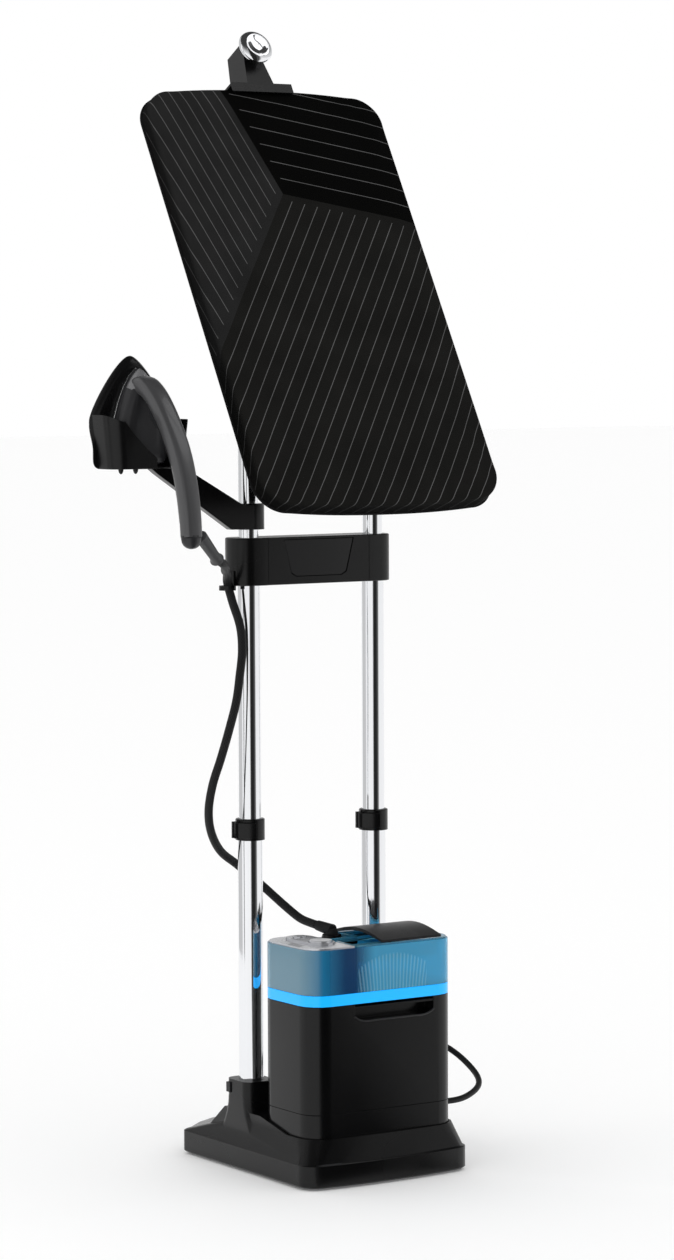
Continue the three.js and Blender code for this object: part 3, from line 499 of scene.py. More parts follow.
def make_hose():
    """The steam hose in three stretches, because it spans three joints."""
    whole = catmull(HOSE_POINTS, PATH_STEP)
    clip, middle = (min(range(len(whole)), key=lambda i: (whole[i] - HOSE_POINTS[number]).length)
                    for number in (HOSE_CLIP, HOSE_MIDDLE))
    hose_piece("steam_hose_lower", whole[:clip + 1], ("root", "mid_frame"), ["steam_hose"])
    hose_piece("steam_hose_upper", whole[clip:middle + 1], ("mid_frame", "holder"))
    hose_piece("steam_hose_end", whole[middle:], ("holder", "iron"))


def make_power_cord():
    path = eased(catmull(CORD_POINTS, PATH_STEP))[:-1] + coil_path()
    stands_for = ["power_cord", "cord_coil"]
    cord = tube_piece("mains_cord", path, CORD_D / 2, 16, "cord_rubber", "root", stands_for)
    ends = [*make_plug(), make_tie()]


def squarish(count, half_a, half_b, power=0.5):
    """The points of a rounded-square outline with the given half sizes."""
    def bent(value, half):
        return half * math.copysign(abs(value) ** power, value)

    return [(bent(c, half_a), bent(s, half_b)) for c, s in circle(count)]


def make_plug():
    """A moulded mains plug lying on the coil, with its strain relief and two pins."""
    sections = [(-20, 9, 8.5), (-19.5, 11, 10), (-16, 12.6, 10.8), (-6, 12.2, 10.2), (4, 11.6, 9.6),
                (12, 12.2, 10.4), (18, 12.8, 10.9), (19.6, 12.2, 10.2), (20, 11, 9)]
    rings = [[PLUG_AT + mm(-x, y, z) for x, z in squarish(32, half_x, half_z)]
             for y, half_x, half_z in sections]
    pieces = [new_piece("mains_plug", *grid(rings), "cord_rubber", "root", ["power_plug"])]
    relief = catmull([mm(140, 163, 22.9), mm(140, 172, 24.4), mm(140, 182, 26), mm(140, 193, 27.2)], 1 * MM)

    def ribbed(t):
        return (4.8 + 1.8 * t + 0.45 * math.sin(t * 50)) * MM

    pieces.append(tube_piece("mains_plug_relief", relief, ribbed, 20, "cord_rubber", "root"))
    for name, side in (("left", -1), ("right", 1)):
        pin_path = [PLUG_AT + mm(9.5 * side, y, 0) for y in (19, 24, 30, 36, 38, 39)]
        pieces.append(tube_piece(f"mains_plug_pin_{name}", pin_path,
                                 lambda t: 2.4 * MM if t < 0.9 else 1.6 * MM, 16, "brass", "root"))
    return pieces


def make_tie():
    """A strap round the coil's turns, on the right."""
    centre = COIL_AT + Vector((COIL_RADII[1], 0, CORD_D + COIL_LIFT))
    rings = [[centre + mm(x, half, z) for x, z in squarish(48, 12.3 + grow, 8.05 + grow, 0.45)]
             for half, grow in ((-6, 0.0), (-6, 0.8), (6, 0.8), (6, 0.0), (-6, 0.0))]
    return new_piece("cord_tie", *grid(rings, close_ends=False), "rubber", "root")


def braid_finish():
    """A braided sleeve: two crossing sets of strands wound round the hose, with painted shade in the gaps
    between the strands.
    """
    shade = Shade("hose_braid", (0.013, 0.013, 0.014), 0.55, Specular_IOR_Level=0.25)
    place = shade.uv("along")
    around = shade.times(place["X"], 2 * math.pi * 10)
    along = shade.times(place["Y"], 2 * math.pi / 0.0045)
    first = shade.math("SINE", shade.math("ADD", around, along))
    second = shade.math("SINE", shade.minus(around, along))
    height = shade.math("MAXIMUM", first, second)
    # painted shade: the gaps between the strands are painted darker than the strands' crests
    tone = shade.ranged(height, 0.0, 1.0, -0.2, 1.0)
    dark, light = (0.003, 0.003, 0.003), (0.013, 0.013, 0.014)
    shade.link(shade.mix(tone, dark, light), shade.bsdf.inputs["Base Color"])
    shade.bump(height, 0.5, 0.0005)
    return shade.material


# ---------------------------------------------------------------- shared shapes
def plan(half, low, high, r, bulge, corner, side):
    """A rounded rectangle, anticlockwise, in mm, whose low and high sides bow outwards."""
    points = []
    corners = [(half - r, low + r, -90), (half - r, high - r, 0), (r - half, high - r, 90),
               (r - half, low + r, 180)]
    for x, y, start in corners:
        for i in range(corner + 1):
            angle = math.radians(start + 90 * i / corner)
            points.append((x + r * math.cos(angle), y + r * math.sin(angle)))
        if start in (0, 180):
            edge = high if start == 0 else low
            way = 1 if start == 0 else -1
            for i in range(1, side):
                t = 1 - 2 * i / side
                points.append((way * t * (half - r), edge + way * bulge * (1 - abs(t) ** 2.3)))
    return points


def bezier(start, a, b, end, count):
    """Points along a cubic curve, without its end."""
    points = []
    for i in range(count):
        t = i / count
        s = 1 - t
        points.append(tuple(s ** 3 * p + 3 * s * s * t * q + 3 * s * t * t * u + t ** 3 * v
                            for p, q, u, v in zip(start, a, b, end)))
    return points


def mirrored(right, tip):
    """The right side of an outline, its tip on the middle line, and the same side again on the left."""
    return [*right, tip, *((-x, z) for x, z in reversed(right[1:]))]


def round_edges(obj, width, segments=2):
    """Smooth shading, with a small rounding on every sharp edge."""
    obj.data.polygons.foreach_set("use_smooth", [True] * len(obj.data.polygons))
    bevel = obj.modifiers.new("edges", "BEVEL")
    bevel.width = width * MM
    bevel.segments = segments
    bevel.limit_method = "ANGLE"
    bevel.angle_limit = math.radians(35)
    normals = obj.modifiers.new("normals", "WEIGHTED_NORMAL")
    normals.keep_sharp = True
    return bevel


def piece_of(name, parts, slot, body, replaces=(), finish=None):
    """One piece from several (vertices, faces) parts, in mm."""
    vertices, faces = [], []
    for part_vertices, part_faces in parts:
        start = len(vertices)
        vertices += [Vector(v) * MM for v in part_vertices]
        faces += [tuple(i + start for i in face) for face in part_faces]
    obj = new_piece(name, vertices, faces, slot, body, replaces)
    if finish:
        obj.data.materials[0] = FINISH[finish]
    return obj


def rod(points, radius, sides=20, **options):
    rings, _ = sweep([Vector(p) for p in points], radius, sides, **options)
    return grid(rings)


# ---------------------------------------------------------------- padded board cover
BOARD = {"half": 181, "centre": 28.6, "flat": 302, "arch": 6, "r": 42}
COVER_FACE = -56.0  # the cover's front, in the board's frame
COVER_INSIDE = -49.4
COVER_ROUND = 6.0  # mm, the rounding of the cover's front edge
COVER_GRID = (62, 106)


def on_board(x, y, z):
    """A point from the board's own upright frame, in mm, to the world, in metres."""
    cosine, sine = math.cos(TILT), math.sin(TILT)
    return PIVOT + Vector((x, y * cosine + z * sine, z * cosine - y * sine)) * MM


def cover_front():
    """The flat front as a grid with rounded corners: for each point its place and its outward direction."""
    half, flat, radius = BOARD["half"] - COVER_ROUND, BOARD["flat"] - COVER_ROUND, BOARD["r"] - COVER_ROUND
    across, along = COVER_GRID
    points = {}
    for j in range(along + 1):
        for i in range(across + 1):
            x = half * (2 * i / across - 1)
            z = flat * (2 * j / along - 1)
            sx, sz = math.copysign(1, x), math.copysign(1, z)
            u = (abs(x) - (half - radius)) / radius
            v = (abs(z) - (flat - radius)) / radius
            out = (sx, 0.0) if i in (0, across) else (0.0, sz)
            if u > 0 and v > 0:
                du, dv = u * math.sqrt(1 - v * v / 2), v * math.sqrt(1 - u * u / 2)
                x, z = sx * (half - radius + radius * du), sz * (flat - radius + radius * dv)
                size = math.hypot(du, dv)
                out = (sx * du / size, sz * dv / size)
            bow = BOARD["arch"] * max(0.0, 1 - abs(x / (half - radius)) ** 2.3) * abs(z) / flat
            points[i, j] = (x, z + sz * bow + BOARD["centre"], out)
    return points


def band(first, second):
    """Faces between two closed loops of vertex numbers."""
    after = [*range(1, len(first)), 0]
    return [(first[n], first[k], second[k], second[n]) for k, n in enumerate(after)]


def build_cover():
    """The cover as a closed shell in the board's frame, its unrolled places, and which points are held."""
    across, along = COVER_GRID
    front = cover_front()
    order = [(i, j) for j in range(along + 1) for i in range(across + 1)]
    number = {key: n for n, key in enumerate(order)}
    vertices = [(front[key][0], COVER_FACE, front[key][1]) for key in order]
    unrolled = [(front[key][0], front[key][1], 0.0) for key in order]
    held = [False] * len(vertices)
    faces = []
    for j in range(along):
        for i in range(across):
            faces.append((number[i, j], number[i + 1, j], number[i + 1, j + 1], number[i, j + 1]))
    loop = [(i, 0) for i in range(across)] + [(across, j) for j in range(along)]
    loop += [(i, along) for i in range(across, 0, -1)] + [(0, j) for j in range(along, 0, -1)]
    turns = [(COVER_ROUND * math.sin(a), COVER_FACE + COVER_ROUND * (1 - math.cos(a)))
             for a in (math.pi / 8 * k for k in range(1, 5))]
    profile = turns + [(6, -44.5), (6, -39), (5.8, -34.5), (5.2, -32.4), (3.8, -31.8), (2.6, -33),
                       (2.6, -40), (2.6, COVER_INSIDE)]
    previous = [number[key] for key in loop]
    run, last = 0.0, (0.0, COVER_FACE)
    for step, (out, y) in enumerate(profile):
        run += math.dist((out, y), last)
        last = (out, y)
        ring = []
        for key in loop:
            x, z, (nx, nz) = front[key]
            ring.append(len(vertices))
            vertices.append((x + nx * out, y, z + nz * out))
            unrolled.append((x + nx * run, z + nz * run, run))
            held.append(step > 6)
        faces += band(previous, ring)
        previous = ring
    inner = len(vertices)
    for key in order:
        vertices.append((front[key][0], COVER_INSIDE, front[key][1]))
        unrolled.append((front[key][0], front[key][1], run))
        held.append(True)
    for j in range(along):
        for i in range(across):
            a, b = inner + number[i, j], inner + number[i, j + 1]
            faces.append((a, b, b + 1, a + 1))
    faces += band(previous, [inner + number[key] for key in loop])
    return vertices, faces, unrolled, held


def puff(obj, held, pressure, cap):
    """Swell the piece by cloth simulation, with the held points fixed and no point moved past cap."""
    scene = bpy.context.scene
    group = obj.vertex_groups.new(name="held")
    group.add([i for i, fixed in enumerate(held) if fixed], 1.0, "REPLACE")
    cloth = obj.modifiers.new("puff", "CLOTH")
    cloth.settings.quality = 5
    cloth.settings.mass = 0.4
    cloth.settings.tension_stiffness = 20
    cloth.settings.compression_stiffness = 20
    cloth.settings.bending_stiffness = 6
    cloth.settings.vertex_group_mass = "held"
    cloth.settings.use_pressure = True
    cloth.settings.uniform_pressure_force = pressure
    cloth.settings.effector_weights.gravity = 0
    cloth.collision_settings.use_collision = False
    for step in range(1, 21):
        scene.frame_set(step)
    moved = obj.evaluated_get(bpy.context.evaluated_depsgraph_get()).data
    places = [v.co.copy() for v in moved.vertices]
    obj.modifiers.remove(cloth)
    obj.vertex_groups.remove(group)
    scene.frame_set(1)
    for vertex, place in zip(obj.data.vertices, places):
        shift = place - vertex.co
        vertex.co += shift * (cap / (cap + shift.length))


def make_cover():
    vertices, faces, unrolled, held = build_cover()
    places = [on_board(*v) for v in vertices]
    cover = new_piece("padded_cover", places, faces, "cover_fabric", "board", ["board_cover"])
    for name, pair in (("unrolled", (0, 1)), ("edge", (2, 2))):
        layer = cover.data.uv_layers.new(name=name)
        for loop in cover.data.loops:
            place = unrolled[loop.vertex_index]
            layer.data[loop.index].uv = (place[pair[0]] * MM, place[pair[1]] * MM)
    puff(cover, held, 4.0, 2.2 * MM)
    smooth = cover.modifiers.new("smooth", "SUBSURF")
    smooth.levels = 1
    smooth.render_levels = 1
    make_hem()


def make_hem():
    """The drawcord hem that rolls round the back edge of the cover."""
    inset = 1.4
    flat = BOARD["flat"] - inset
    outline = plan(BOARD["half"] - inset, BOARD["centre"] - flat, BOARD["centre"] + flat, BOARD["r"] - inset,
                   BOARD["arch"], 16, 60)
    path = [Vector((x, -31.2, z)) for x, z in outline]
    rings = []
    for i, point in enumerate(path):
        ahead = (path[(i + 1) % len(path)] - path[i - 1]).normalized()
        across = ahead.cross(Vector((0, 1, 0)))
        section = [point + across * (2.3 * c) + Vector((0, 2.6 * s, 0)) for c, s in circle(12)]
        rings.append([on_board(*place) for place in section])
    hem = new_piece("cover_hem", *grid([*rings, rings[0]], close_ends=False), "cover_fabric", "board")
    hem.data.materials[0] = FINISH["hem"]


def cover_finish():
    """Three zones that meet in a point, each with its own tone, weave and set of fine pale lines."""
    shade = Shade("cover_print", (0.01, 0.01, 0.01), 0.85, Specular_IOR_Level=0.05)
    place = shade.uv("unrolled")
    round_edge = shade.uv("edge")["X"]
    x = shade.minus(shade.times(place["X"], 1000.0), -18.0)
    z = shade.minus(shade.times(place["Y"], 1000.0), 173.0)

    def left_of(degrees):
        """The distance in mm to the left of the ray from the meeting point."""
        cosine, sine = math.cos(math.radians(degrees)), math.sin(math.radians(degrees))
        return shade.minus(shade.times(z, cosine), shade.times(x, sine))

    up, right, down = left_of(105.9), left_of(-11.4), left_of(-125.8)

    def between(above, below):
        inside = shade.math("GREATER_THAN", above, 0.0)
        return shade.times(inside, shade.math("LESS_THAN", below, 0.0))

    left_zone, top_zone, low_zone = between(up, down), between(right, up), between(down, right)

    def lines(distance, first, pitch, fence, margin, zone):
        """Lines at first, first + pitch ... mm from one border, which stop short of the other."""
        past = shade.minus(distance, first - pitch / 2)
        turn = shade.math("FRACT", shade.math("DIVIDE", past, pitch))
        off = shade.times(shade.math("ABSOLUTE", shade.minus(turn, 0.5)), pitch)
        on_line = shade.math("LESS_THAN", off, 0.5)
        clear = shade.times(shade.math("LESS_THAN", fence, -margin),
                            shade.math("GREATER_THAN", distance, first - 1.0))
        return shade.times(shade.times(on_line, clear), zone)

    marks = lines(up, 11.0, 17.0, down, 9.5, left_zone)
    marks = shade.math("MAXIMUM", marks, lines(right, 24.0, 24.0, up, 10.0, top_zone))
    marks = shade.math("MAXIMUM", marks, lines(down, 15.0, 17.0, right, 9.0, low_zone))
    warp = shade.wave(x, 0.9)
    weft = shade.wave(z, 0.9)
    weave = shade.times(warp, weft)
    shadow = shade.ranged(round_edge, 1.0, 0.3, 0.005, 0.014)
    drift = shade.ranged(shade.noise(18.0, 3.0), 0.85, 1.15, 0.3, 0.7)
    threads = shade.ranged(weave, 0.8, 1.2, -1.0, 1.0)
    tone = shade.times(shade.times(threads, drift), shadow)
    cloth = shade.mix(left_zone, (0.0088, 0.0086, 0.0079), (0.0150, 0.0150, 0.0150))
    cloth = shade.mix(top_zone, cloth, (0.0012, 0.0012, 0.001))
    cloth = shade.mix(marks, cloth, (0.095, 0.095, 0.095))
    scaled = shade.tree.nodes.new("ShaderNodeVectorMath")
    scaled.operation = "SCALE"
    shade.link(cloth, scaled.inputs[0])
    shade.link(tone, scaled.inputs["Scale"])
    shade.link(scaled.outputs[0], shade.bsdf.inputs["Base Color"])
    shade.bump(weave, 0.25, 0.0003)
    shade.bump(shade.noise(35.0), 0.15, 0.002)
    return shade.material


# ---------------------------------------------------------------- iron and cradle
IRON_X = -280
IRON_BACK = -27.9
IRON_TIP = 1032
IRON_HEEL = 910.5
IRON_HALF = 38
IRON_PROFILE = [  # (how far inside the outline, how far in front of the sole's back) for each ring
    (1.2, 5.3), (1.0, 7), (1.0, 10.4), (2.0, 10.8), (2.0, 11.6), (1.2, 12), (1.6, 15), (2.8, 19), (4.8, 22.6),
    (7.6, 25.4), (11, 27.4), (15, 28.8), (20, 29.6), (25, 30),
]
HANDLE_POINTS = [(IRON_X, y, z) for y, z in (
    (-34, 1001), (-46, 1009), (-60, 1009), (-75, 1001.5), (-92, 987.5), (-119, 956), (-140, 922), (-154, 883),
    (-161, 848), (-163, 826))]


def iron_outline(inset, y):
    """The iron's outline, pointed at the top, round from the heel's left."""
    half, heel, tip = IRON_HALF - inset, IRON_HEEL + inset, IRON_TIP - inset
    foot = bezier((9 - half, heel), (-half / 3, heel), (half / 3, heel), (half - 9, heel), 10)
    right = bezier((half - 9, heel), (half - 3, heel), (half, heel + 4), (half, heel + 10), 8)
    right += bezier((half, heel + 10), (half, 970), (18 - inset * 0.2, tip - 10), (0, tip), 26)
    return [(IRON_X + x, y, z) for x, z in foot + mirrored(right, (0, tip))]


def make_iron():
    housing = grid([iron_outline(inset, IRON_BACK - out) for inset, out in IRON_PROFILE])
    round_edges(piece_of("iron_housing", [housing], "graphite", "iron", ["iron_body"]), 0.3)
    make_iron_tip()
    bar = handle_tube(catmull(HANDLE_POINTS, 4.0), 12.0, 14.2, 0.62)
    round_edges(piece_of("iron_handle", [bar], "graphite", "iron", finish="iron_grey"), 0.3)
    under = [p + Vector((0, 7.6, -5.2)) for p in catmull(HANDLE_POINTS[4:-1], 4.0)]
    pad = handle_tube(under, 6.0, 11.2, 0.7)
    round_edges(piece_of("iron_grip", [pad], "dark_grey", "iron", finish="rubber"), 0.3)
    cap = [(IRON_X, y, z) for y, z in ((-162.6, 827.5), (-162.9, 824), (-162.9, 819), (-162.6, 815),
                                       (-162.4, 812.6), (-162.3, 811.4))]

    def dome(t):
        return math.sqrt(max(0.03, 1 - (t * 0.99) ** 3))

    end = rod(cap, lambda t: 11.4 * dome(t), 32, wide=lambda t: 13.2 * dome(t), up=(0, 1, 0))
    piece_of("iron_handle_end", [end], "graphite", "iron")


def handle_tube(path, thick, wide, power):
    """A bar of rounded-square section along a path that lies across X."""
    rings = []
    for i, point in enumerate(path):
        ahead = (path[min(i + 1, len(path) - 1)] - path[max(i - 1, 0)]).normalized()
        normal = ahead.cross(Vector((1, 0, 0)))
        share = i / (len(path) - 1)
        slim = 1 - 0.12 * share
        ends = min(1.0, 0.75 + share * 5)
        section = squarish(36, thick * slim * ends, wide * slim, power)
        rings.append([point + normal * a + Vector((b, 0, 0)) for a, b in section])
    return grid(rings)


def make_iron_tip():
    """The pale cap over the iron's tip: the housing's own surface there, a little proud."""
    rings = []
    for inset, out in IRON_PROFILE[5:]:
        outline = iron_outline(inset - 0.5, IRON_BACK - out - 0.5)
        top = [p for p in outline if p[2] > 1004]
        middle = max(range(len(top)), key=lambda i: top[i][2])
        rings.append(spread_evenly([Vector(p) for p in top], 20, middle))
    count = len(rings[0])
    rows = len(rings)
    outer = [p for ring in rings for p in ring]
    vertices = outer + [p + Vector((0, 1.2, -1.0)) for p in outer]
    layer = rows * count
    faces = []
    for k in range(rows - 1):
        for j in range(count - 1):
            a = k * count + j
            faces.append((a, a + 1, a + count + 1, a + count))
            faces.append((layer + a, layer + a + count, layer + a + count + 1, layer + a + 1))
    rim = [*range(count), *(k * count + count - 1 for k in range(1, rows))]
    rim += [layer - count + j for j in range(count - 2, -1, -1)]
    rim += [k * count for k in range(rows - 2, 0, -1)]
    for k, a in enumerate(rim):
        b = rim[(k + 1) % len(rim)]
        faces.append((b, a, layer + a, layer + b))
    cap = piece_of("iron_tip_cap", [(vertices, faces)], "silver", "iron", finish="tip_grey")
    fix_normals(cap)


def spread_evenly(points, count, middle):
    """The points again, evenly spread by length, half of them on each side of the middle one."""
    def spread(line, share_count):
        lengths = [0.0]
        for a, b in zip(line, line[1:]):
            lengths.append(lengths[-1] + (b - a).length)
        out = []
        for i in range(share_count):
            want = lengths[-1] * i / (share_count - 1)
            k = max(j for j in range(len(line) - 1) if lengths[j] <= want + 1e-9)
            t = (want - lengths[k]) / max(1e-9, lengths[k + 1] - lengths[k])
            out.append(line[k].lerp(line[k + 1], min(1.0, t)))
        return out
    return spread(points[:middle + 1], count // 2 + 1) + spread(points[middle:], count // 2 + 1)[1:]


def fix_normals(obj):
    """Turn every face outwards."""
    mesh = bmesh.new()
    mesh.from_mesh(obj.data)
    bmesh.ops.recalc_face_normals(mesh, faces=mesh.faces)
    mesh.to_mesh(obj.data)
    mesh.free()


def make_iron_relief():
    """A ribbed sleeve from the handle's end to a flared collar, where the hose goes in."""
    start, end = Vector((-266, -160, 828)), Vector((-224, -132, 795))
    axis = (end - start).normalized()
    length = (end - start).length
    ribs = [start + axis * (length * i / 90) for i in range(4, 80)]
    sleeve = rod(ribs, lambda t: 7.6 - 1.3 * t + 0.5 * math.sin(t * 2 * math.pi * 14), 28)
    collar = [start + axis * (length * (0.86 + 0.134 * i / 12)) for i in range(13)]
    flare = rod(collar, lambda t: 6.4 + 2.8 * min(1.0, t * 1.15) ** 1.6 - 0.8 * max(0.0, t - 0.9) * 10, 32)
    piece_of("iron_relief_sleeve", [sleeve, flare], "rubber", "iron", ["iron_relief"], finish="relief_grey")


CRADLE_BACK = -25
CRADLE_BOTTOM = 907
CRADLE_WALL = 2.6


def plate_outline(inset, y_of):
    """The back plate's outline, pointed at the top; y_of gives its depth at a height."""
    half, bottom, tip = 59 - inset, CRADLE_BOTTOM + inset, 1047 - inset
    foot = bezier((10 - half, bottom), (-half / 3, bottom), (half / 3, bottom), (half - 10, bottom), 12)
    right = bezier((half - 10, bottom), (half - 3, bottom), (half, bottom + 4), (half, bottom + 12), 6)
    right += bezier((half, bottom + 12), (half, bottom + 30), (half, 946), (half, 966), 8)
    right += bezier((half, 966), (half, 981), (17, tip), (0, tip), 24)
    return [(IRON_X + x, y_of(z), z) for x, z in foot + mirrored(right, (0, tip))]


def cradle_plate():
    """The back plate: a pointed arch. Its upper rim curls backwards, clear of the lifted iron."""
    profile = [(14, 0, 0), (11, 0, 0.5), (8, 0, 2), (5, 0, 4.4), (2.6, 0, 7), (1.2, 0.3, 8.6),
               (0.2, 1.2, 9.2), (0, 2.2, 8.8), (0.6, 2.6, 7.9), (2.4, 2.6, 5.2), (4.8, 2.6, 2.8),
               (7.6, 2.6, 1), (10.4, 2.6, 0.2), (13, 2.6, 0)]

    def depth(out, curl):
        return lambda z: CRADLE_BACK - out + curl * smoothstep(min(1.0, max(0.0, (z - 930) / 30)))

    return grid([plate_outline(inset, depth(out, curl)) for inset, out, curl in profile])


def cradle_foot(x, y):
    """Where the cradle's wall stands on its floor, under a point of its upper edge."""
    return IRON_X + (x - IRON_X) * 0.88, CRADLE_BACK + (y - CRADLE_BACK) * 0.95


def cradle_wall(points):
    """A thin wall that leans outwards towards its top. points are (x, y, top height) along its outer face."""
    rings = []
    for i, (x, y, top) in enumerate(points):
        before, after = points[max(i - 1, 0)], points[min(i + 1, len(points) - 1)]
        along = Vector((after[0] - before[0], after[1] - before[1], 0)).normalized()
        inwards = Vector((0, 0, 1)).cross(along) * CRADLE_WALL
        low = Vector((*cradle_foot(x, y), CRADLE_BOTTOM))
        share = (top - CRADLE_BOTTOM) / 66
        high = low.lerp(Vector((x, y, CRADLE_BOTTOM + 66)), share)
        rings.append([low, high, high + inwards, low + inwards])
    return grid(rings)


def make_cradle():
    """The back plate, two walls round the iron's heel with a gap between them, a floor and two nubs."""
    left = [(-339, -25.5, 974), (-339, -38, 974)]
    for i in range(13):
        angle = math.radians(180 + 90 * i / 12)
        x = -318 + 21 * math.cos(angle)
        left.append((x, -50 + 21 * math.sin(angle), 974 - 8 * (x + 339) / 17 if x < -322 else 966))
    left += [(-308, -71, 953), (-297, -71, 942.5), (-286, -71, 932), (-277, -71, 925), (-270, -71, 920)]
    right = [(-244, -71, 921), (-240, -71, 926)]
    for i in range(9):
        angle = math.radians(270 + 90 * i / 8)
        x = -235 + 14 * math.cos(angle)
        right.append((x, -57 + 14 * math.sin(angle), 930 + 38 * min(1.0, max(0.0, (x + 235) / 13))))
    right += [(-221, -40, 968), (-221, -25.5, 968)]
    walls = [cradle_wall(left), cradle_wall(right)]
    edge = [cradle_foot(x, y) for x, y, _ in left]
    edge += [(-271, -47), (-248, -47)]
    edge += [cradle_foot(x, y) for x, y, _ in right]
    floor = grid([[(x, y, z) for x, y in edge] for z in (CRADLE_BOTTOM, CRADLE_BOTTOM + 2.4)])
    heights = (908, 905, 903, 901.6, 901)
    nubs = [rod([(x, -61, z) for z in heights], lambda t: 3.4 * math.sqrt(1.02 - t * t), 20)
            for x in (-319, -298)]
    parts = [cradle_plate(), *walls, floor, *nubs]
    cradle = piece_of("iron_cradle", parts, "satin_black", "holder", ["holder_cradle"])
    fix_normals(cradle)
    round_edges(cradle, 0.7, 3)


# ---------------------------------------------------------------- hanger knob and handhold
def make_knob():
    """A chrome knob: a short neck, a deep rounded bowl and a shallow dished face."""
    profile = catmull([Vector(p) for p in (
        (5, -7, 0), (5, -3, 0), (9, -2.4, 0), (17, -1.6, 0), (22, 1.2, 0), (23.9, 5, 0), (22.6, 8.6, 0),
        (19.4, 11.4, 0), (16.5, 12.6, 0), (13, 12.2, 0), (7, 11, 0), (1, 10.6, 0))], 0.8)
    rings = [[on_board(p.x * c, -67.3 - p.y, 336.6 + 51.5 + p.x * s) / MM for c, s in circle(72)]
             for p in profile]
    knob = piece_of("hanger_knob_bowl", [grid(rings)], "chrome", "board", ["hanger_knob"])
    fix_normals(knob)


def make_handhold_lip():
    """The rounded lower lip of the generator's front handhold, painted lighter than the black shell as
    painted light.
    """
    path = catmull([(-47, -167.6, 214), (-44.5, -167.8, 211.6), (-34, -167.8, 207.2), (-10, -167.8, 206.8),
                    (14, -167.8, 206.8), (40, -167.8, 206.8), (62, -167.8, 207.2), (72.5, -167.8, 211.6),
                    (75, -167.6, 214)], 3.0)
    piece_of("handhold_lip", [rod(path, 1.3, 12)], "semi_gloss_black", "root", finish="lip_painted_light")


# ---------------------------------------------------------------- finishes of their own
def tank_finish():
    """Clear blue plastic: a pale left side that is painted reflection of bright light from the left, fading
    round the corner, a deep band beside the corner, and moulded ribs on the front whose crests carry painted
    highlight.
    """
    tank = Shade("tank_blue", (0.08, 0.42, 0.62), 0.07, Transmission_Weight=0.6, IOR=1.4)
    place = tank.axes(tank.coords)
    x, z = place["X"], place["Z"]
    # painted reflection: the tank's left side is painted pale, as if it mirrored bright light from the left,
    # fading to blue round the corner
    corner = tank.mix(tank.ranged(x, 0.0, 1.0, -0.1112, -0.092), (0.3, 0.52, 0.64), (0.03, 0.3, 0.56))
    deep = tank.mix(tank.ranged(x, 0.0, 1.0, -0.092, -0.06), corner, (0.0, 0.07, 0.22))
    front = tank.mix(tank.ranged(x, 0.0, 1.0, -0.045, -0.015), deep, (0.09, 0.53, 0.82))
    from_middle = tank.minus(x, 0.011)
    fanned = tank.times(from_middle, tank.ranged(z, 1.06, 0.92, 0.247, 0.292))
    wave = tank.wave(fanned, 0.0052)
    spread = tank.math("DIVIDE", from_middle, 0.053)
    arch = tank.minus(0.291, tank.times(tank.times(spread, spread), 0.016))
    under = tank.ranged(tank.minus(arch, z), 0.0, 1.0, 0.0, 0.003)
    inside = tank.ranged(tank.math("ABSOLUTE", spread), 1.0, 0.0, 0.96, 1.0)
    crests = tank.ranged(wave, 0.0, 1.0, -0.6, 1.0)
    ribs = tank.times(tank.times(crests, under), inside)
    # painted highlight: the ribs' crests are painted paler blue, as if they caught the light; their relief is
    # the bump below
    colour = tank.mix(tank.times(ribs, 0.36), front, (0.45, 0.82, 0.95))
    tank.link(colour, tank.bsdf.inputs["Base Color"])
    tank.link(tank.ranged(tank.noise(14.0), 0.05, 0.1), tank.bsdf.inputs["Roughness"])
    tank.bump(ribs, 0.5, 0.0006)
    return tank.material


def grip_finish():
    """Black plastic with rows of small studs, up to the handle's smooth right end; the studs carry painted
    highlight.
    """
    dark = (0.006, 0.006, 0.0066)
    grip = Shade("handle_grip", dark, 0.32, Specular_IOR_Level=0.3)
    place = grip.axes(grip.coords)
    waves = [grip.wave(place[axis], 0.0034) for axis in "XY"]
    studs = grip.ranged(grip.times(*waves), 0.0, 1.0, 0.25, 0.6)
    raised = grip.times(studs, grip.ranged(place["X"], 1.0, 0.0, 0.058, 0.06))
    grip.bump(raised, 0.9, 0.0009)
    # painted highlight: the raised studs are painted a lighter grey, as if they caught the light
    grip.link(grip.mix(raised, dark, (0.03, 0.03, 0.032)), grip.bsdf.inputs["Base Color"])
    return grip.material


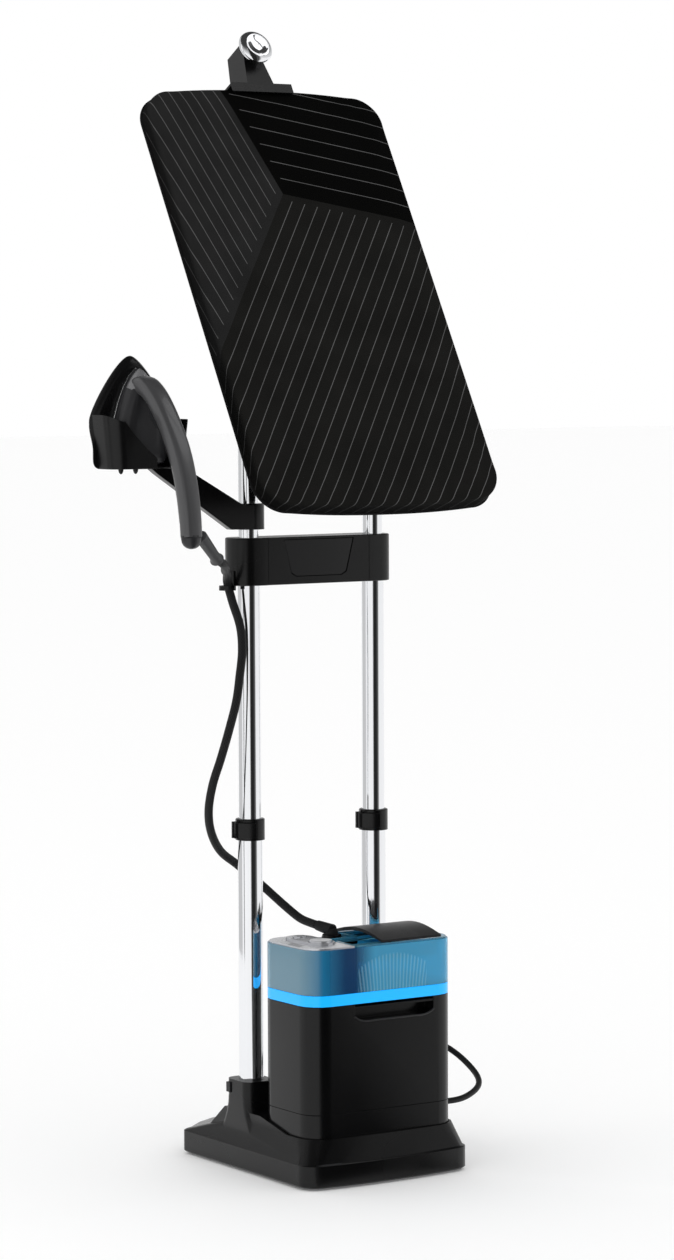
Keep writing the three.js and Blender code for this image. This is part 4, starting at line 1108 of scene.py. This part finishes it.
def extra_finishes():
    """Materials that differ from their slot's own."""
    return {
        "braid": braid_finish(),
        "cover_print": cover_finish(),
        "tank_blue": tank_finish(),
        "grip": grip_finish(),
        "hem": grained("hem_fabric", (0.004, 0.004, 0.004), 0.8, 0.12, (2600.0, 0.4, 0.0005)),
        "iron_grey": grained("iron_grey", (0.075, 0.075, 0.078), 0.3, 0.5, (3000.0, 0.03, 0.0002, 0.05, 0.1),
                             Metallic=0.4, Coat_Weight=0.25),
        "tip_grey": grained("tip_grey", (0.17, 0.17, 0.175), 0.3, 0.5, (2600.0, 0.03, 0.0002), Metallic=0.3),
        "relief_grey": grained("relief_grey", (0.045, 0.045, 0.047), 0.4, 0.5, (1800.0, 0.12)),
        # painted light: the handhold's lower lip is the black shell's plastic painted a lighter grey, as if
        # lit
        "lip_painted_light": grained("lip_painted_light", (0.012, 0.012, 0.013), 0.3, 0.5, (900.0, 0.05)),
        "deep_blue": grained("deep_blue", (0.0, 0.15, 0.30), 0.25, 0.5, (900.0, 0.02)),
    }


# ---------------------------------------------------------------- CAD nodes that keep their shape
def soften(node):
    """A CAD node's own mesh with its finish; a bevel rounds its sharp edges and smooths the round ones."""
    obj = frame["nodes"][node]
    slots = {s["node"]: s["material_slot"] for s in frame["record"]["subparts"]}
    obj.data.materials.clear()
    obj.data.materials.append(FINISH[slots[node]])
    weld = obj.modifiers.new("weld", "WELD")
    weld.merge_threshold = 1e-5
    flatten = obj.modifiers.new("flatten", "DECIMATE")
    flatten.decimate_type = "DISSOLVE"
    flatten.angle_limit = math.radians(0.5)
    round_edges(obj, 0.5).harden_normals = True


SPECIAL = {"board_cover": "cover_print", "console_pod": "deep_blue", "carry_handle": "grip",
           "water_tank": "tank_blue"}

make_camera()
make_studio()
FINISH = make_finishes()
FINISH.update(extra_finishes())
make_hose()
make_power_cord()
make_cover()
make_iron()
make_iron_relief()
make_cradle()
make_knob()
make_handhold_lip()
for node_name, node in frame["nodes"].items():
    if not node.hide_render:
        soften(node_name)
        if node_name in SPECIAL:
            node.data.materials[0] = FINISH[SPECIAL[node_name]]
bpy.data.objects["padded_cover"].data.materials[0] = FINISH["cover_print"]
